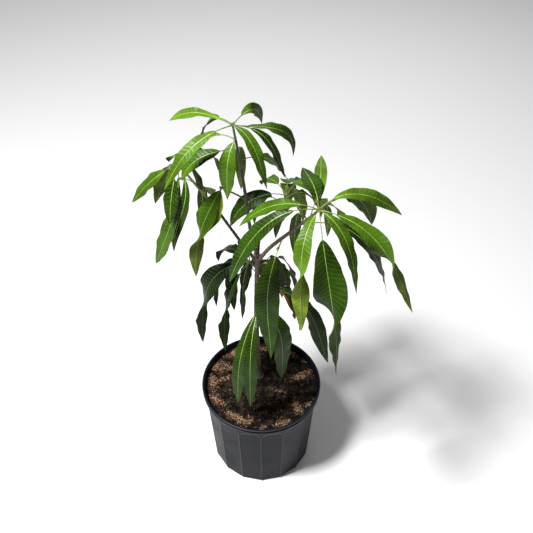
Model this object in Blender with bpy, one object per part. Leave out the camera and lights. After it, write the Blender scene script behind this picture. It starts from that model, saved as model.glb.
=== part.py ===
"""Mango sapling in its black nursery pot, as separate closed solids.

Metres, +Z up, +X to the right and +Y away from the front. The origin is the centre of the pot's
flat underside. The trunk forks once, a whorl of long drooping leaves ends each bough, and shorter
groups of leaves spring from the trunk below the fork.
"""

import math
import random
from dataclasses import dataclass

import bmesh
import bpy
from mathutils import Vector
from mathutils.bvhtree import BVHTree

MM = 0.001
CLEARANCE = 0.3 * MM
WELD = 0.001 * MM

# Pot
POT_HEIGHT = 0.252
POT_RIM_RADIUS = 0.1425
POT_NECK_RADIUS = 0.1375
POT_BASE_RADIUS = 0.1225
POT_WALL = 2.2 * MM
POT_PANELS = 16
PANEL_TOP = 0.228
PANEL_SHOULDER = 0.198
PANEL_DRAFT = 3.5 * MM
PANEL_STEP = 1 * MM
WALL_FLATNESS = 0.9
SEGMENTS_PER_PANEL = 3
POT_STEPS = POT_PANELS * SEGMENTS_PER_PANEL
POT_ANGLE = 12
BEAD = 3.2 * MM
RIM_BAND = 15 * MM
# The rim's outline in millimetres: inward from its widest radius, and up from the band's foot.
RIM_OUTLINE = ((0.8, 1.5), (0.8, 4.0), (3.2, 5.5), (3.2, 10.0), (0.0, 11.5), (0.0, 14.0), (1.2, 15.0))
FOOT_CHAMFER = 5 * MM
DRAIN_HOLES = 8
DRAIN_WIDTH = 11 * MM
DRAIN_HEIGHT = 7 * MM
DRAIN_LIFT = 3 * MM
DRAIN_INSIDE = 9 * MM
DRAIN_OUTSIDE = 4 * MM

# Soil
SOIL_LEVEL = 0.235
SOIL_GAP = 0.5 * MM
SOIL_RINGS = (0.20, 0.50, 0.78)
SOIL_RELIEF = 4 * MM
SOIL_SEED = 4

# Trunk and boughs
TRUNK_FOOT = Vector((-0.006, 0.030, SOIL_LEVEL + CLEARANCE))
TRUNK_KNEE = Vector((-0.010, 0.016, 0.44))
FORK = Vector((-0.006, 0.000, 0.668))
TRUNK_FOOT_RADIUS = 6.6 * MM
TRUNK_TOP_RADIUS = 4.8 * MM
ROOT_FLARE = 5.5 * MM
FLARE_HEIGHT = 0.01
FLARE_RINGS = (0.15, 0.35, 0.65)
LIMB_SIDES = 8
RING_SPACING = 0.045
STEM_SIDES = 6
STEM_SPACING = 0.03
PATH_STEP = 2 * MM
BARK_ANGLE = 50

# Leaves
LEAF_THICKNESS = 0.013
LEAF_FOLD = 0.04
PETIOLE_RADIUS = 1.3 * MM
BLADE_STATIONS = (0.0, 0.10, 0.26, 0.44, 0.60, 0.75, 0.88)
TWIST_SPAN = (0.30, 0.72)
BASE_FULLNESS = 0.65
TIP_FULLNESS = 0.9
THICKNESS_SPREAD = 1.5
STALK_RINGS = 2
LEAF_SIDES = 4
CURVE_PULL = 0.42
CURVE_SAMPLES = 40
TOUCH_MARGIN = 0.8 * MM

# Leaves that fill out the hidden sides: shares of the mass's reach and drop, degrees, millimetres
GOLDEN_ANGLE = 137.5
FILL_TRIES = 12
FILL_TURN = (0, 60)
FILL_REACH = (0.75, 1.15)
FILL_DROP = (0.7, 1.15)
FILL_RISE = (10, 40)
FILL_FALL = (70, 88)
FILL_WIDTH = (28, 36)
FILL_ALONG = (0.4, 1.0)

# Colours
PLASTIC_COLOUR = (0.022, 0.025, 0.031, 1.0)
SOIL_COLOUR = (0.020, 0.013, 0.009, 1.0)
BARK_COLOUR = (0.130, 0.085, 0.050, 1.0)
SHOOT_COLOUR = (0.060, 0.075, 0.025, 1.0)
LEAF_COLOUR = (0.060, 0.170, 0.022, 1.0)
OLD_LEAF_COLOUR = (0.022, 0.070, 0.016, 1.0)
PLASTIC_ROUGHNESS = 0.45
SOIL_ROUGHNESS = 0.95
BARK_ROUGHNESS = 0.85
LEAF_ROUGHNESS = 0.45


@dataclass(frozen=True)
class Limb:
    """One tapering limb: the points it runs through and its radius at foot and tip."""
    points: tuple
    foot_radius: float
    tip_radius: float
    flare: float = 0.0


@dataclass(frozen=True)
class Leaf:
    """One leaf, in degrees and millimetres: where its tip lies from its foot, and how it bends."""
    azimuth: float
    reach: float
    drop: float
    rise: float = 35
    fall: float = 75
    width: float = 38
    petiole: float = 32
    roll: float = 0
    twist: float = 0
    swing: float = 0
    along: float = 1.0
    widest: float = 0.42


@dataclass(frozen=True)
class Mass:
    """One mass of leaves on one stem, with seeded leaves that fill it out on the hidden sides."""
    name: str
    stem: Limb
    leaves: tuple
    carriers: tuple = ()
    fill: int = 0
    fill_from: float = 20
    fill_sweep: float = 140
    fill_reach: float = 110
    fill_drop: float = 110
    seed: int = 1
    colour: tuple = LEAF_COLOUR


TRUNK = Limb((TRUNK_FOOT, TRUNK_KNEE, FORK), TRUNK_FOOT_RADIUS, TRUNK_TOP_RADIUS, ROOT_FLARE)
BELOW_FORK = Vector((-0.0065, 0.001, 0.650))
LEADER = Limb((FORK, Vector((-0.019, 0.0, 0.739)), Vector((-0.027, 0.0, 0.826)),
               Vector((-0.034, 0.0, 0.893))), 3.9 * MM, 3.0 * MM)
LEFT_BOUGH = Limb((BELOW_FORK, Vector((-0.040, 0.002, 0.708)), Vector((-0.072, 0.006, 0.765)),
                   Vector((-0.099, 0.011, 0.808))), 3.6 * MM, 2.7 * MM)
RIGHT_BOUGH = Limb((BELOW_FORK, Vector((0.018, -0.015, 0.704)), Vector((0.056, -0.045, 0.772)),
                    Vector((0.071, -0.055, 0.798))), 4.2 * MM, 3.5 * MM)
BACK_BOUGH = Limb((BELOW_FORK, Vector((0.003, 0.030, 0.715)), Vector((0.036, 0.066, 0.733))),
                  3.2 * MM, 2.6 * MM)
LIMBS = (
    ("trunk", TRUNK, (), BARK_COLOUR),
    ("leader_bough", LEADER, (TRUNK,), SHOOT_COLOUR),
    ("right_bough", RIGHT_BOUGH, (TRUNK, LEADER), BARK_COLOUR),
    ("left_bough", LEFT_BOUGH, (TRUNK, LEADER, RIGHT_BOUGH), SHOOT_COLOUR),
    ("back_bough", BACK_BOUGH, (TRUNK, LEADER, RIGHT_BOUGH, LEFT_BOUGH), SHOOT_COLOUR),
)


MASSES = (
    Mass("top_leaves", Limb((Vector((-0.0335, 0.0, 0.888)), Vector((-0.041, 0.0, 0.945)),
                             Vector((-0.046, 0.0, 0.981))), 3.0 * MM, 1.9 * MM),
         (Leaf(158, 126, 22, rise=19, fall=42, width=20, petiole=20, roll=-5, twist=-35, widest=0.6),
          Leaf(140, 85, 88, rise=20, fall=85, width=32, roll=-20),
          Leaf(209, 138, 90, rise=2, fall=60, width=25, roll=-25),
          Leaf(314, 86, 92, rise=10, fall=70, width=25, petiole=6),
          Leaf(62, 106, 60, rise=10, fall=85, width=24, twist=100),
          Leaf(33, 130, 118, rise=-24, fall=98, width=24, twist=70),
          Leaf(6, 94, 122, rise=-6, fall=72, width=20, roll=35),
          Leaf(193, 104, 53, rise=8, fall=75, width=28, roll=-25, along=0.45),
          Leaf(245, 40, 109, rise=-20, fall=85, width=34, petiole=8, along=0.7),
          Leaf(40, 119, 104, rise=-8, fall=62, width=30, petiole=45, roll=25, along=0.2),
          Leaf(90, 60, 125, rise=20, fall=88, width=22, along=0.3)),
         carriers=(LEADER,), fill=1, fill_from=150, fill_sweep=20, fill_reach=95, seed=11),
    Mass("left_leaves", Limb((Vector((-0.0977, 0.0108, 0.806)), Vector((-0.133, 0.022, 0.853)),
                              Vector((-0.152, 0.030, 0.880))), 2.7 * MM, 1.8 * MM),
         (Leaf(178, 98, 100, rise=-38, fall=55, width=33, roll=-20),
          Leaf(160, 60, 117, rise=-50, fall=65, width=36, petiole=20, roll=40),
          Leaf(118, 50, 32, rise=25, fall=60, width=22, petiole=10),
          Leaf(250, 56, 108, rise=-50, fall=80, width=30),
          Leaf(215, 72, 222, rise=-80, fall=70, width=46, swing=60, widest=0.58),
          Leaf(35, 85, 55, rise=30, fall=100, width=32),
          Leaf(350, 50, 62, rise=10, fall=50, width=26),
          Leaf(245, 46, 190, rise=-30, fall=88, width=22, swing=60),
          Leaf(80, 60, 50, rise=10, fall=60, width=22, along=0.15),
          Leaf(100, 54, 150, rise=10, fall=88, width=22, along=0.15)),
         carriers=(LEFT_BOUGH,), fill=2, fill_from=130, fill_sweep=40, fill_reach=90, seed=23),
    Mass("inner_leaves", Limb((Vector((-0.0265, 0.0, 0.816)), Vector((-0.048, 0.0, 0.830)),
                               Vector((-0.071, 0.0, 0.843))), 1.9 * MM, 1.4 * MM),
         (Leaf(208, 66, 203, rise=-55, fall=88, width=44, petiole=6, roll=-25, twist=115, widest=0.36),
          Leaf(225, 36, 84, rise=-60, fall=50, width=34, petiole=6)),
         carriers=(LEADER,), seed=5),
    Mass("right_leaves", Limb((Vector((0.0695, -0.054, 0.795)), Vector((0.090, -0.064, 0.825)),
                               Vector((0.107, -0.070, 0.849))), 3.5 * MM, 2.0 * MM),
         (Leaf(86, 145, -15, rise=30, fall=5, width=24, petiole=20, widest=0.5),
          Leaf(16, 167, 52, rise=50, fall=50, width=27, roll=20, twist=40),
          Leaf(40, 150, 120, rise=15, width=52, roll=-35),
          Leaf(337, 197, 188, rise=5, fall=66, width=38, roll=10, twist=180, widest=0.38),
          Leaf(316, 101, 145, rise=10, fall=82, width=28, petiole=12, swing=-6, widest=0.3),
          Leaf(289, 130, 318, rise=-25, fall=88, width=63, petiole=56, swing=-15, roll=-15, twist=160,
               widest=0.28),
          Leaf(255, 113, 205, rise=0, fall=85, width=38, petiole=14, swing=-16, twist=150, widest=0.5),
          Leaf(122, 116, 14, rise=60, fall=40, width=26, swing=-8),
          Leaf(173, 147, 56, rise=22, fall=55, width=28, roll=-15),
          Leaf(192, 168, 150, rise=20, fall=75, width=38, petiole=48, roll=-20, widest=0.5),
          Leaf(60, 45, 100, rise=10, fall=88, width=18),
          Leaf(105, 50, 130, rise=20, fall=88, width=24, along=0.3),
          Leaf(0, 182, 186, rise=18, fall=80, width=32, petiole=62, roll=20, along=0.1),
          Leaf(105, 105, -18, rise=60, fall=10, width=34, petiole=16)),
         carriers=(RIGHT_BOUGH,), fill=3, fill_from=25, fill_sweep=110, seed=37),
    Mass("back_leaves", Limb((Vector((0.0352, 0.0655, 0.7325)), Vector((0.046, 0.080, 0.742)),
                              Vector((0.053, 0.090, 0.752))), 2.6 * MM, 1.7 * MM),
         (Leaf(190, 117, 66, rise=28, fall=78, width=38, roll=-30),
          Leaf(85, 80, 18, rise=30, fall=35, width=34),
          Leaf(55, 105, 60, width=36),
          Leaf(125, 90, 30, width=34)),
         carriers=(BACK_BOUGH,), fill=4, seed=41),
    Mass("hanging_leaf", Limb((Vector((0.043, -0.0345, 0.747)), Vector((0.040, -0.036, 0.738)),
                               Vector((0.036, -0.040, 0.728))), 1.6 * MM, 1.3 * MM),
         (Leaf(255, 54, 275, rise=-60, fall=85, width=52, petiole=22, swing=-25, widest=0.36),),
         carriers=(RIGHT_BOUGH,), seed=3),
    Mass("fork_leaves", Limb((Vector((-0.0065, 0.001, 0.642)), Vector((0.003, -0.002, 0.650)),
                              Vector((0.010, -0.004, 0.653))), 2.2 * MM, 1.6 * MM),
         (Leaf(28, 72, 108, rise=30, fall=85, width=36),
          Leaf(60, 50, 122, rise=20, fall=88, width=34)),
         carriers=(TRUNK,), seed=7, colour=OLD_LEAF_COLOUR),
    Mass("lower_left_leaves", Limb((Vector((-0.0065, 0.002, 0.632)), Vector((-0.017, 0.0, 0.645)),
                                    Vector((-0.024, 0.0, 0.652))), 2.4 * MM, 1.7 * MM),
         (Leaf(190, 107, 233, rise=0, fall=88, width=52, roll=-35, twist=80, widest=0.32),
          Leaf(205, 62, 253, rise=-50, fall=88, width=40, twist=70),
          Leaf(159, 80, 166, rise=0, fall=85, width=42),
          Leaf(134, 52, 189, rise=0, fall=88, width=36),
          Leaf(232, 26, 152, rise=-60, fall=80, width=16, petiole=50),
          Leaf(182, 40, 96, rise=0, fall=80, width=24)),
         carriers=(TRUNK,), fill=2, fill_from=90, fill_sweep=80, seed=53,
         colour=OLD_LEAF_COLOUR),
    Mass("lower_front_leaves", Limb((Vector((-0.0085, 0.009, 0.516)), Vector((-0.006, -0.002, 0.524)),
                                     Vector((-0.004, -0.012, 0.530))), 2.4 * MM, 1.7 * MM),
         (Leaf(240, 97, 236, rise=-30, fall=88, width=32, petiole=20, widest=0.6),
          Leaf(258, 95, 236, rise=0, fall=88, width=32, petiole=20, widest=0.6),
          Leaf(320, 68, 195, rise=-5, fall=88, width=60, petiole=15)),
         carriers=(TRUNK,), seed=61, colour=OLD_LEAF_COLOUR),
    Mass("lower_right_leaves", Limb((Vector((-0.0075, 0.006, 0.565)), Vector((0.003, 0.003, 0.573)),
                                     Vector((0.012, 0.0, 0.575))), 2.4 * MM, 1.7 * MM),
         (Leaf(348, 144, 215, rise=5, fall=72, width=40, twist=60),
          Leaf(8, 76, 150, rise=10, fall=88, width=38),
          Leaf(350, 64, 88, rise=20, fall=88, width=36)),
         carriers=(TRUNK,), fill=2, fill_from=10, fill_sweep=70, seed=71,
         colour=OLD_LEAF_COLOUR),
    Mass("lower_back_leaves", Limb((Vector((-0.007, 0.005, 0.590)), Vector((-0.006, 0.016, 0.600)),
                                    Vector((-0.005, 0.024, 0.604))), 2.4 * MM, 1.7 * MM),
         (), carriers=(TRUNK,), fill=6, fill_from=45, fill_sweep=100, fill_reach=95,
         fill_drop=150, seed=83, colour=OLD_LEAF_COLOUR),
)


def clear_scene():
    """Start from an empty scene."""
    for item in list(bpy.data.objects):
        bpy.data.objects.remove(item, do_unlink=True)


def finish(name, colour, roughness):
    """A plain material of one colour."""
    material = bpy.data.materials.new(name)
    material.use_nodes = True
    shader = material.node_tree.nodes["Principled BSDF"]
    shader.inputs["Base Color"].default_value = colour
    shader.inputs["Roughness"].default_value = roughness
    shader.inputs["Metallic"].default_value = 0.0
    return material


def make_object(name, vertices, faces, material=None):
    """A mesh object with its faces turned outward."""
    mesh = bpy.data.meshes.new(name)
    mesh.from_pydata([tuple(v) for v in vertices], [], faces)
    work = bmesh.new()
    work.from_mesh(mesh)
    bmesh.ops.recalc_face_normals(work, faces=work.faces)
    work.to_mesh(mesh)
    work.free()
    if material:
        mesh.materials.append(material)
    item = bpy.data.objects.new(name, mesh)
    bpy.context.scene.collection.objects.link(item)
    return item


def ring_faces(rings, around):
    """Quads between successive rings of the same number of vertices."""
    return [(r * around + k, r * around + (k + 1) % around,
             (r + 1) * around + (k + 1) % around, (r + 1) * around + k)
            for r in range(rings - 1) for k in range(around)]


def smooth_path(points, spacing):
    """Points along a Catmull-Rom curve through the given ones, about one for each spacing."""
    ends = [points[0] * 2 - points[1], *points, points[-1] * 2 - points[-2]]
    path = []
    for a, b, c, d in zip(ends, ends[1:], ends[2:], ends[3:]):
        steps = max(1, round((c - b).length / spacing))
        for k in range(steps):
            t = k / steps
            path.append(0.5 * (b * 2 + (c - a) * t + (a * 2 - b * 5 + c * 4 - d) * t ** 2
                               + (b * 3 - a - c * 3 + d) * t ** 3))
    return path + [points[-1]]


def lengths_along(path):
    """Distance of each point of a path from its first."""
    total = [0.0]
    for a, b in zip(path, path[1:]):
        total.append(total[-1] + (b - a).length)
    return total


def point_along(points, share):
    """The point at a share of the length of the smooth path through the given ones."""
    path = smooth_path(points, PATH_STEP)
    total = lengths_along(path)
    target = share * total[-1]
    for a, b, start, end in zip(path, path[1:], total, total[1:]):
        if end >= target:
            return a.lerp(b, (target - start) / (end - start))
    return path[-1]


def sweep_rings(path, radii, sides):
    """Rings of vertices round a path, carried along it without twisting."""
    vertices = []
    side = Vector((1.0, 0.0, 0.0))
    for k, centre in enumerate(path):
        tangent = (path[min(k + 1, len(path) - 1)] - path[max(k - 1, 0)]).normalized()
        side = (side - tangent * side.dot(tangent)).normalized()
        other = tangent.cross(side)
        for step in range(sides):
            angle = 2 * math.pi * step / sides
            vertices.append(centre + (side * math.cos(angle) + other * math.sin(angle)) * radii[k])
    return vertices


def limb_rings(limb, sides, spacing, grow=0.0):
    """Vertices of a tapering limb, thickened and lengthened all round by grow."""
    path = smooth_path(limb.points, spacing)
    if limb.flare:
        foot = path[0]
        path[1:1] = [foot.lerp(path[1], share) for share in FLARE_RINGS]
    total = lengths_along(path)
    radii = [limb.foot_radius + (limb.tip_radius - limb.foot_radius) * s / total[-1]
             + limb.flare * math.exp(-s / FLARE_HEIGHT) + grow for s in total]
    path[0] = path[0] - (path[1] - path[0]).normalized() * grow
    path[-1] = path[-1] + (path[-1] - path[-2]).normalized() * grow
    vertices = sweep_rings(path, radii, sides)
    if limb.flare:
        for vertex in vertices[:sides]:
            vertex.z = path[0].z
    return vertices, len(path)


def limb_object(name, limb, material=None, sides=LIMB_SIDES, spacing=RING_SPACING, grow=0.0):
    """A limb as a closed tube."""
    vertices, rings = limb_rings(limb, sides, spacing, grow)
    faces = ring_faces(rings, sides)
    faces += [tuple(range(sides)), tuple(range((rings - 1) * sides, rings * sides))]
    return make_object(name, vertices, faces, material)


def apply_modifiers(item):
    """Replace an object's mesh by the evaluated one."""
    graph = bpy.context.evaluated_depsgraph_get()
    mesh = bpy.data.meshes.new_from_object(item.evaluated_get(graph), depsgraph=graph)
    item.modifiers.clear()
    item.data = mesh


def keep_largest_body(item):
    """Drop loose scraps and tidy the mesh."""
    work = bmesh.new()
    work.from_mesh(item.data)
    bmesh.ops.remove_doubles(work, verts=work.verts, dist=WELD)
    bmesh.ops.dissolve_degenerate(work, edges=work.edges, dist=WELD)
    bodies, seen = [], set()
    for start in work.verts:
        if start in seen:
            continue
        body, queue = [], [start]
        seen.add(start)
        while queue:
            vertex = queue.pop()
            body.append(vertex)
            for edge in vertex.link_edges:
                other = edge.other_vert(vertex)
                if other not in seen:
                    seen.add(other)
                    queue.append(other)
        bodies.append(body)
    largest = max(bodies, key=len)
    for body in bodies:
        if body is not largest:
            bmesh.ops.delete(work, geom=body, context="VERTS")
    work.to_mesh(item.data)
    work.free()


def seat_on(item, carriers):
    """Cut an object back to lie the clearance off each limb that carries it."""
    cutters = [limb_object("cutter", carrier, grow=CLEARANCE) for carrier in carriers]
    for cutter in cutters:
        cut = item.modifiers.new("seat", "BOOLEAN")
        cut.operation = "DIFFERENCE"
        cut.object = cutter
    apply_modifiers(item)
    for cutter in cutters:
        bpy.data.objects.remove(cutter, do_unlink=True)
    keep_largest_body(item)


def join_bodies(item, others):
    """Fuse objects into one closed body, and remove them."""
    group = bpy.data.collections.new("to_fuse")
    bpy.context.scene.collection.children.link(group)
    for other in others:
        group.objects.link(other)
    fuse = item.modifiers.new("fuse", "BOOLEAN")
    fuse.operation = "UNION"
    fuse.operand_type = "COLLECTION"
    fuse.collection = group
    fuse.solver = "MANIFOLD"
    apply_modifiers(item)
    for other in others:
        bpy.data.objects.remove(other, do_unlink=True)
    bpy.data.collections.remove(group)
    keep_largest_body(item)


def heading(azimuth, pitch):
    """Unit vector at a compass angle and an angle above the horizontal, in degrees."""
    a, p = math.radians(azimuth), math.radians(pitch)
    return Vector((math.cos(a) * math.cos(p), math.sin(a) * math.cos(p), math.sin(p)))


def leaf_curve(leaf, foot):
    """Evenly sampled midline of a leaf from its foot, up, over and down to its tip."""
    tip = foot + heading(leaf.azimuth, 0) * leaf.reach * MM - Vector((0, 0, leaf.drop * MM))
    pull = CURVE_PULL * (tip - foot).length
    knee = foot + heading(leaf.azimuth + leaf.swing, leaf.rise) * pull
    shoulder = tip - heading(leaf.azimuth - leaf.swing, -leaf.fall) * pull
    path = []
    for k in range(CURVE_SAMPLES + 1):
        t = k / CURVE_SAMPLES
        path.append(foot * (1 - t) ** 3 + knee * 3 * t * (1 - t) ** 2
                    + shoulder * 3 * t ** 2 * (1 - t) + tip * t ** 3)
    return path


def blade_width(t, widest):
    """Share of the greatest width at a share of the blade's length."""
    if t < widest:
        return math.sin(math.pi / 2 * t / widest) ** BASE_FULLNESS
    return math.cos(math.pi / 2 * (t - widest) / (1 - widest)) ** TIP_FULLNESS


def blade_turn(leaf, share):
    """Turn of a leaf about its midline in radians: its twist comes in along its tail."""
    start, end = TWIST_SPAN
    t = min(1.0, max(0.0, (share - start) / (end - start)))
    return math.radians(leaf.roll + leaf.twist * t * t * (3 - 2 * t))


def leaf_faces(rings):
    """Triangles between a leaf's rings, cut alike above and below so that a twisted blade has no crossing."""
    faces = []
    for low in range(0, (rings - 1) * LEAF_SIDES, LEAF_SIDES):
        for k in range(LEAF_SIDES):
            here, there = low + k, low + (k + 1) % LEAF_SIDES
            if k % 2:
                faces += [(here, there, here + LEAF_SIDES), (there, there + LEAF_SIDES, here + LEAF_SIDES)]
            else:
                faces += [(here, there, there + LEAF_SIDES), (here, there + LEAF_SIDES, here + LEAF_SIDES)]
    return faces


def leaf_solid(leaf, foot, grow=0.0):
    """Vertices and faces of a leaf: a four-sided stalk that widens into a folded blade."""
    path = leaf_curve(leaf, foot)
    total = lengths_along(path)
    length = total[-1]
    stalk = leaf.petiole * MM / length
    marks = [(stalk * k / STALK_RINGS, 0.0) for k in range(STALK_RINGS)]
    marks += [(stalk + (1 - stalk) * t, blade_width(t, leaf.widest)) for t in BLADE_STATIONS]
    side = heading(leaf.azimuth + 90, 0)
    half, thick = leaf.width * MM / 2 + grow, LEAF_THICKNESS * length / 2 + grow
    vertices, k = [], 0
    for share, spread in marks:
        while total[k + 1] < share * length:
            k += 1
        centre = path[k].lerp(path[k + 1], (share * length - total[k]) / (total[k + 1] - total[k]))
        tangent = (path[k + 1] - path[k]).normalized()
        side = (side - tangent * side.dot(tangent)).normalized()
        up = tangent.cross(side)
        turn = blade_turn(leaf, share)
        across = side * math.cos(turn) + up * math.sin(turn)
        above = tangent.cross(across)
        wide = max(half * spread, PETIOLE_RADIUS + grow)
        deep = max(thick * min(1.0, spread * THICKNESS_SPREAD), PETIOLE_RADIUS + grow)
        fold = above * (LEAF_FOLD * 2 * wide if spread else 0.0)
        vertices += [centre + across * wide + fold, centre + above * deep,
                     centre - across * wide + fold, centre - above * deep]
    rings = len(marks)
    vertices.append(path[-1])
    last = (rings - 1) * LEAF_SIDES
    faces = leaf_faces(rings) + [tuple(range(LEAF_SIDES))]
    faces += [(last + k, last + (k + 1) % LEAF_SIDES, last + LEAF_SIDES) for k in range(LEAF_SIDES)]
    return vertices, faces


def tree_of(vertices, faces):
    """Search tree for testing whether two solids touch."""
    return BVHTree.FromPolygons([tuple(v) for v in vertices], faces)


def touches(tree, others):
    """Whether a solid crosses any of the others."""
    return any(tree.overlap(other) for other in others)


def crosses_blade(leaf, foot, neighbours):
    """Whether a leaf's blade, past its stalk, crosses another leaf of the same mass."""
    vertices, faces = leaf_solid(leaf, foot, TOUCH_MARGIN)
    blade = [face for face in faces if min(face) >= STALK_RINGS * LEAF_SIDES]
    return touches(tree_of(vertices, blade), neighbours)


def limb_tree(limb):
    """Search tree of a limb's surface."""
    vertices, rings = limb_rings(limb, LIMB_SIDES, RING_SPACING)
    return tree_of(vertices, ring_faces(rings, LIMB_SIDES))


def filling_leaf(mass, rng, k):
    """One seeded leaf on the hidden side of a mass."""
    turn = (k * GOLDEN_ANGLE + rng.uniform(*FILL_TURN)) % 360 / 360
    return Leaf(azimuth=mass.fill_from + mass.fill_sweep * turn,
                reach=mass.fill_reach * rng.uniform(*FILL_REACH),
                drop=mass.fill_drop * rng.uniform(*FILL_DROP),
                rise=rng.uniform(*FILL_RISE), fall=rng.uniform(*FILL_FALL),
                width=rng.uniform(*FILL_WIDTH), along=rng.uniform(*FILL_ALONG))


class Crown:
    """The masses as they grow: which leaves each keeps, and the space that each takes up."""

    def __init__(self):
        self.limbs = [limb_tree(limb) for _, limb, _, _ in LIMBS]
        self.solids = {mass.name: [limb_tree(mass.stem)] for mass in MASSES}
        self.leaves = {mass.name: [] for mass in MASSES}

    def is_clear(self, mass, leaf, foot):
        """Whether a leaf keeps off every limb and every other mass."""
        tree = tree_of(*leaf_solid(leaf, foot, TOUCH_MARGIN))
        others = [solid for name, solids in self.solids.items() if name != mass.name
                  for solid in solids]
        return not touches(tree, self.limbs + others)

    def keep(self, mass, leaf, foot):
        """Give a mass one more leaf."""
        self.leaves[mass.name].append((leaf, foot))
        self.solids[mass.name].append(tree_of(*leaf_solid(leaf, foot)))

    def grow_named(self, mass):
        """The leaves that a mass is given, less any that would touch its neighbours."""
        for leaf in mass.leaves:
            foot = point_along(mass.stem.points, leaf.along)
            if self.is_clear(mass, leaf, foot):
                self.keep(mass, leaf, foot)

    def grow_filling(self, mass):
        """Seeded leaves on a mass's hidden side, each in a free place of its own."""
        rng = random.Random(mass.seed)
        wanted = mass.fill
        for k in range(mass.fill * FILL_TRIES):
            leaf = filling_leaf(mass, rng, k)
            foot = point_along(mass.stem.points, leaf.along)
            if wanted and self.is_clear(mass, leaf, foot) \
                    and not crosses_blade(leaf, foot, self.solids[mass.name][1:]):
                self.keep(mass, leaf, foot)
                wanted -= 1


def build_mass(mass, leaves):
    """One mass of leaves fused to its stem."""
    material = finish(mass.name + "_green", mass.colour, LEAF_ROUGHNESS)
    stem = limb_object(mass.name, mass.stem, material, sides=STEM_SIDES, spacing=STEM_SPACING)
    seat_on(stem, mass.carriers)
    join_bodies(stem, [make_object("leaf", *leaf_solid(leaf, foot)) for leaf, foot in leaves])


def build_plant():
    """Trunk, boughs and every mass of leaves."""
    for name, limb, carriers, colour in LIMBS:
        item = limb_object(name, limb, finish(name + "_bark", colour, BARK_ROUGHNESS))
        if carriers:
            seat_on(item, carriers)
        item.data.shade_smooth()
        item.data.set_sharp_from_angle(angle=math.radians(BARK_ANGLE))
    crown = Crown()
    for mass in MASSES:
        crown.grow_named(mass)
    for mass in MASSES:
        crown.grow_filling(mass)
    for mass in MASSES:
        build_mass(mass, crown.leaves[mass.name])


def pot_section_radius(radius, flatness, step):
    """Radius of the pot at one step round it: round, or drawn in to flats between its creases."""
    half = math.pi / POT_PANELS
    within = (step % SEGMENTS_PER_PANEL) / SEGMENTS_PER_PANEL * 2 * half - half
    flat = radius * math.cos(half) / math.cos(within)
    return radius + (flat - radius) * flatness


def pot_ring(radius, height, flatness):
    """One ring of the pot's wall, with a crease at the front."""
    ring = []
    for step in range(POT_STEPS):
        angle = 2 * math.pi * step / POT_STEPS - math.pi / 2
        r = pot_section_radius(radius, flatness, step)
        ring.append(Vector((r * math.cos(angle), r * math.sin(angle), height)))
    return ring


def inside_rows(gap):
    """Rows of the pot's inner wall from panel top to floor, drawn in by a gap."""
    neck, base = POT_NECK_RADIUS - POT_WALL - gap, POT_BASE_RADIUS - POT_WALL - gap
    return ((neck - PANEL_STEP, PANEL_TOP, 0.0),
            (neck - PANEL_DRAFT, PANEL_SHOULDER, WALL_FLATNESS),
            (base, POT_WALL + FOOT_CHAMFER, 1.0),
            (base - FOOT_CHAMFER, POT_WALL, 1.0))


def pot_profile():
    """Rows of the pot's section as (radius, height, flatness), up the outside and down inside."""
    band_foot = POT_HEIGHT - RIM_BAND
    mouth = POT_RIM_RADIUS - BEAD - POT_WALL
    outside = ((POT_BASE_RADIUS - FOOT_CHAMFER, 0.0, 1.0),
               (POT_BASE_RADIUS, FOOT_CHAMFER, 1.0),
               (POT_NECK_RADIUS - PANEL_DRAFT, PANEL_SHOULDER, WALL_FLATNESS),
               (POT_NECK_RADIUS - PANEL_STEP, PANEL_TOP, 0.0),
               (POT_NECK_RADIUS, band_foot, 0.0))
    rim = tuple((POT_RIM_RADIUS - inward * MM, band_foot + up * MM, 0.0) for inward, up in RIM_OUTLINE)
    return outside + rim + ((mouth, POT_HEIGHT, 0.0), (mouth, band_foot, 0.0)) + inside_rows(0.0)


def stacked_object(name, rings, material):
    """A closed solid from rings round the pot's axis, with its first and last ring filled."""
    last = (len(rings) - 1) * POT_STEPS
    faces = ring_faces(len(rings), POT_STEPS)
    faces += [tuple(range(POT_STEPS)), tuple(range(last, last + POT_STEPS))]
    return make_object(name, [vertex for ring in rings for vertex in ring], faces, material)


def drain_cutters():
    """Small blocks across the pot's foot, one for each drain hole."""
    cutters = []
    for k in range(DRAIN_HOLES):
        angle = 360 * (k + 0.5) / DRAIN_HOLES
        out, side = heading(angle, 0), heading(angle + 90, 0)
        near, far = POT_BASE_RADIUS - DRAIN_INSIDE, POT_BASE_RADIUS + DRAIN_OUTSIDE
        low, high = DRAIN_LIFT, DRAIN_LIFT + DRAIN_HEIGHT
        corners = [out * r + side * w + Vector((0, 0, z)) for z in (low, high)
                   for r, w in ((near, -DRAIN_WIDTH / 2), (far, -DRAIN_WIDTH / 2),
                                (far, DRAIN_WIDTH / 2), (near, DRAIN_WIDTH / 2))]
        faces = ring_faces(2, 4) + [(0, 1, 2, 3), (4, 5, 6, 7)]
        cutters.append(make_object("drain", corners, faces))
    return cutters


def build_pot():
    """The moulded pot: creased wall, double bead round the rim and drain holes at its foot."""
    plastic = finish("moulded_plastic", PLASTIC_COLOUR, PLASTIC_ROUGHNESS)
    pot = stacked_object("pot", [pot_ring(*row) for row in pot_profile()], plastic)
    cutters = drain_cutters()
    for cutter in cutters:
        cut = pot.modifiers.new("drain", "BOOLEAN")
        cut.operation = "DIFFERENCE"
        cut.object = cutter
    apply_modifiers(pot)
    for cutter in cutters:
        bpy.data.objects.remove(cutter, do_unlink=True)
    pot.data.shade_smooth()
    pot.data.set_sharp_from_angle(angle=math.radians(POT_ANGLE))


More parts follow.
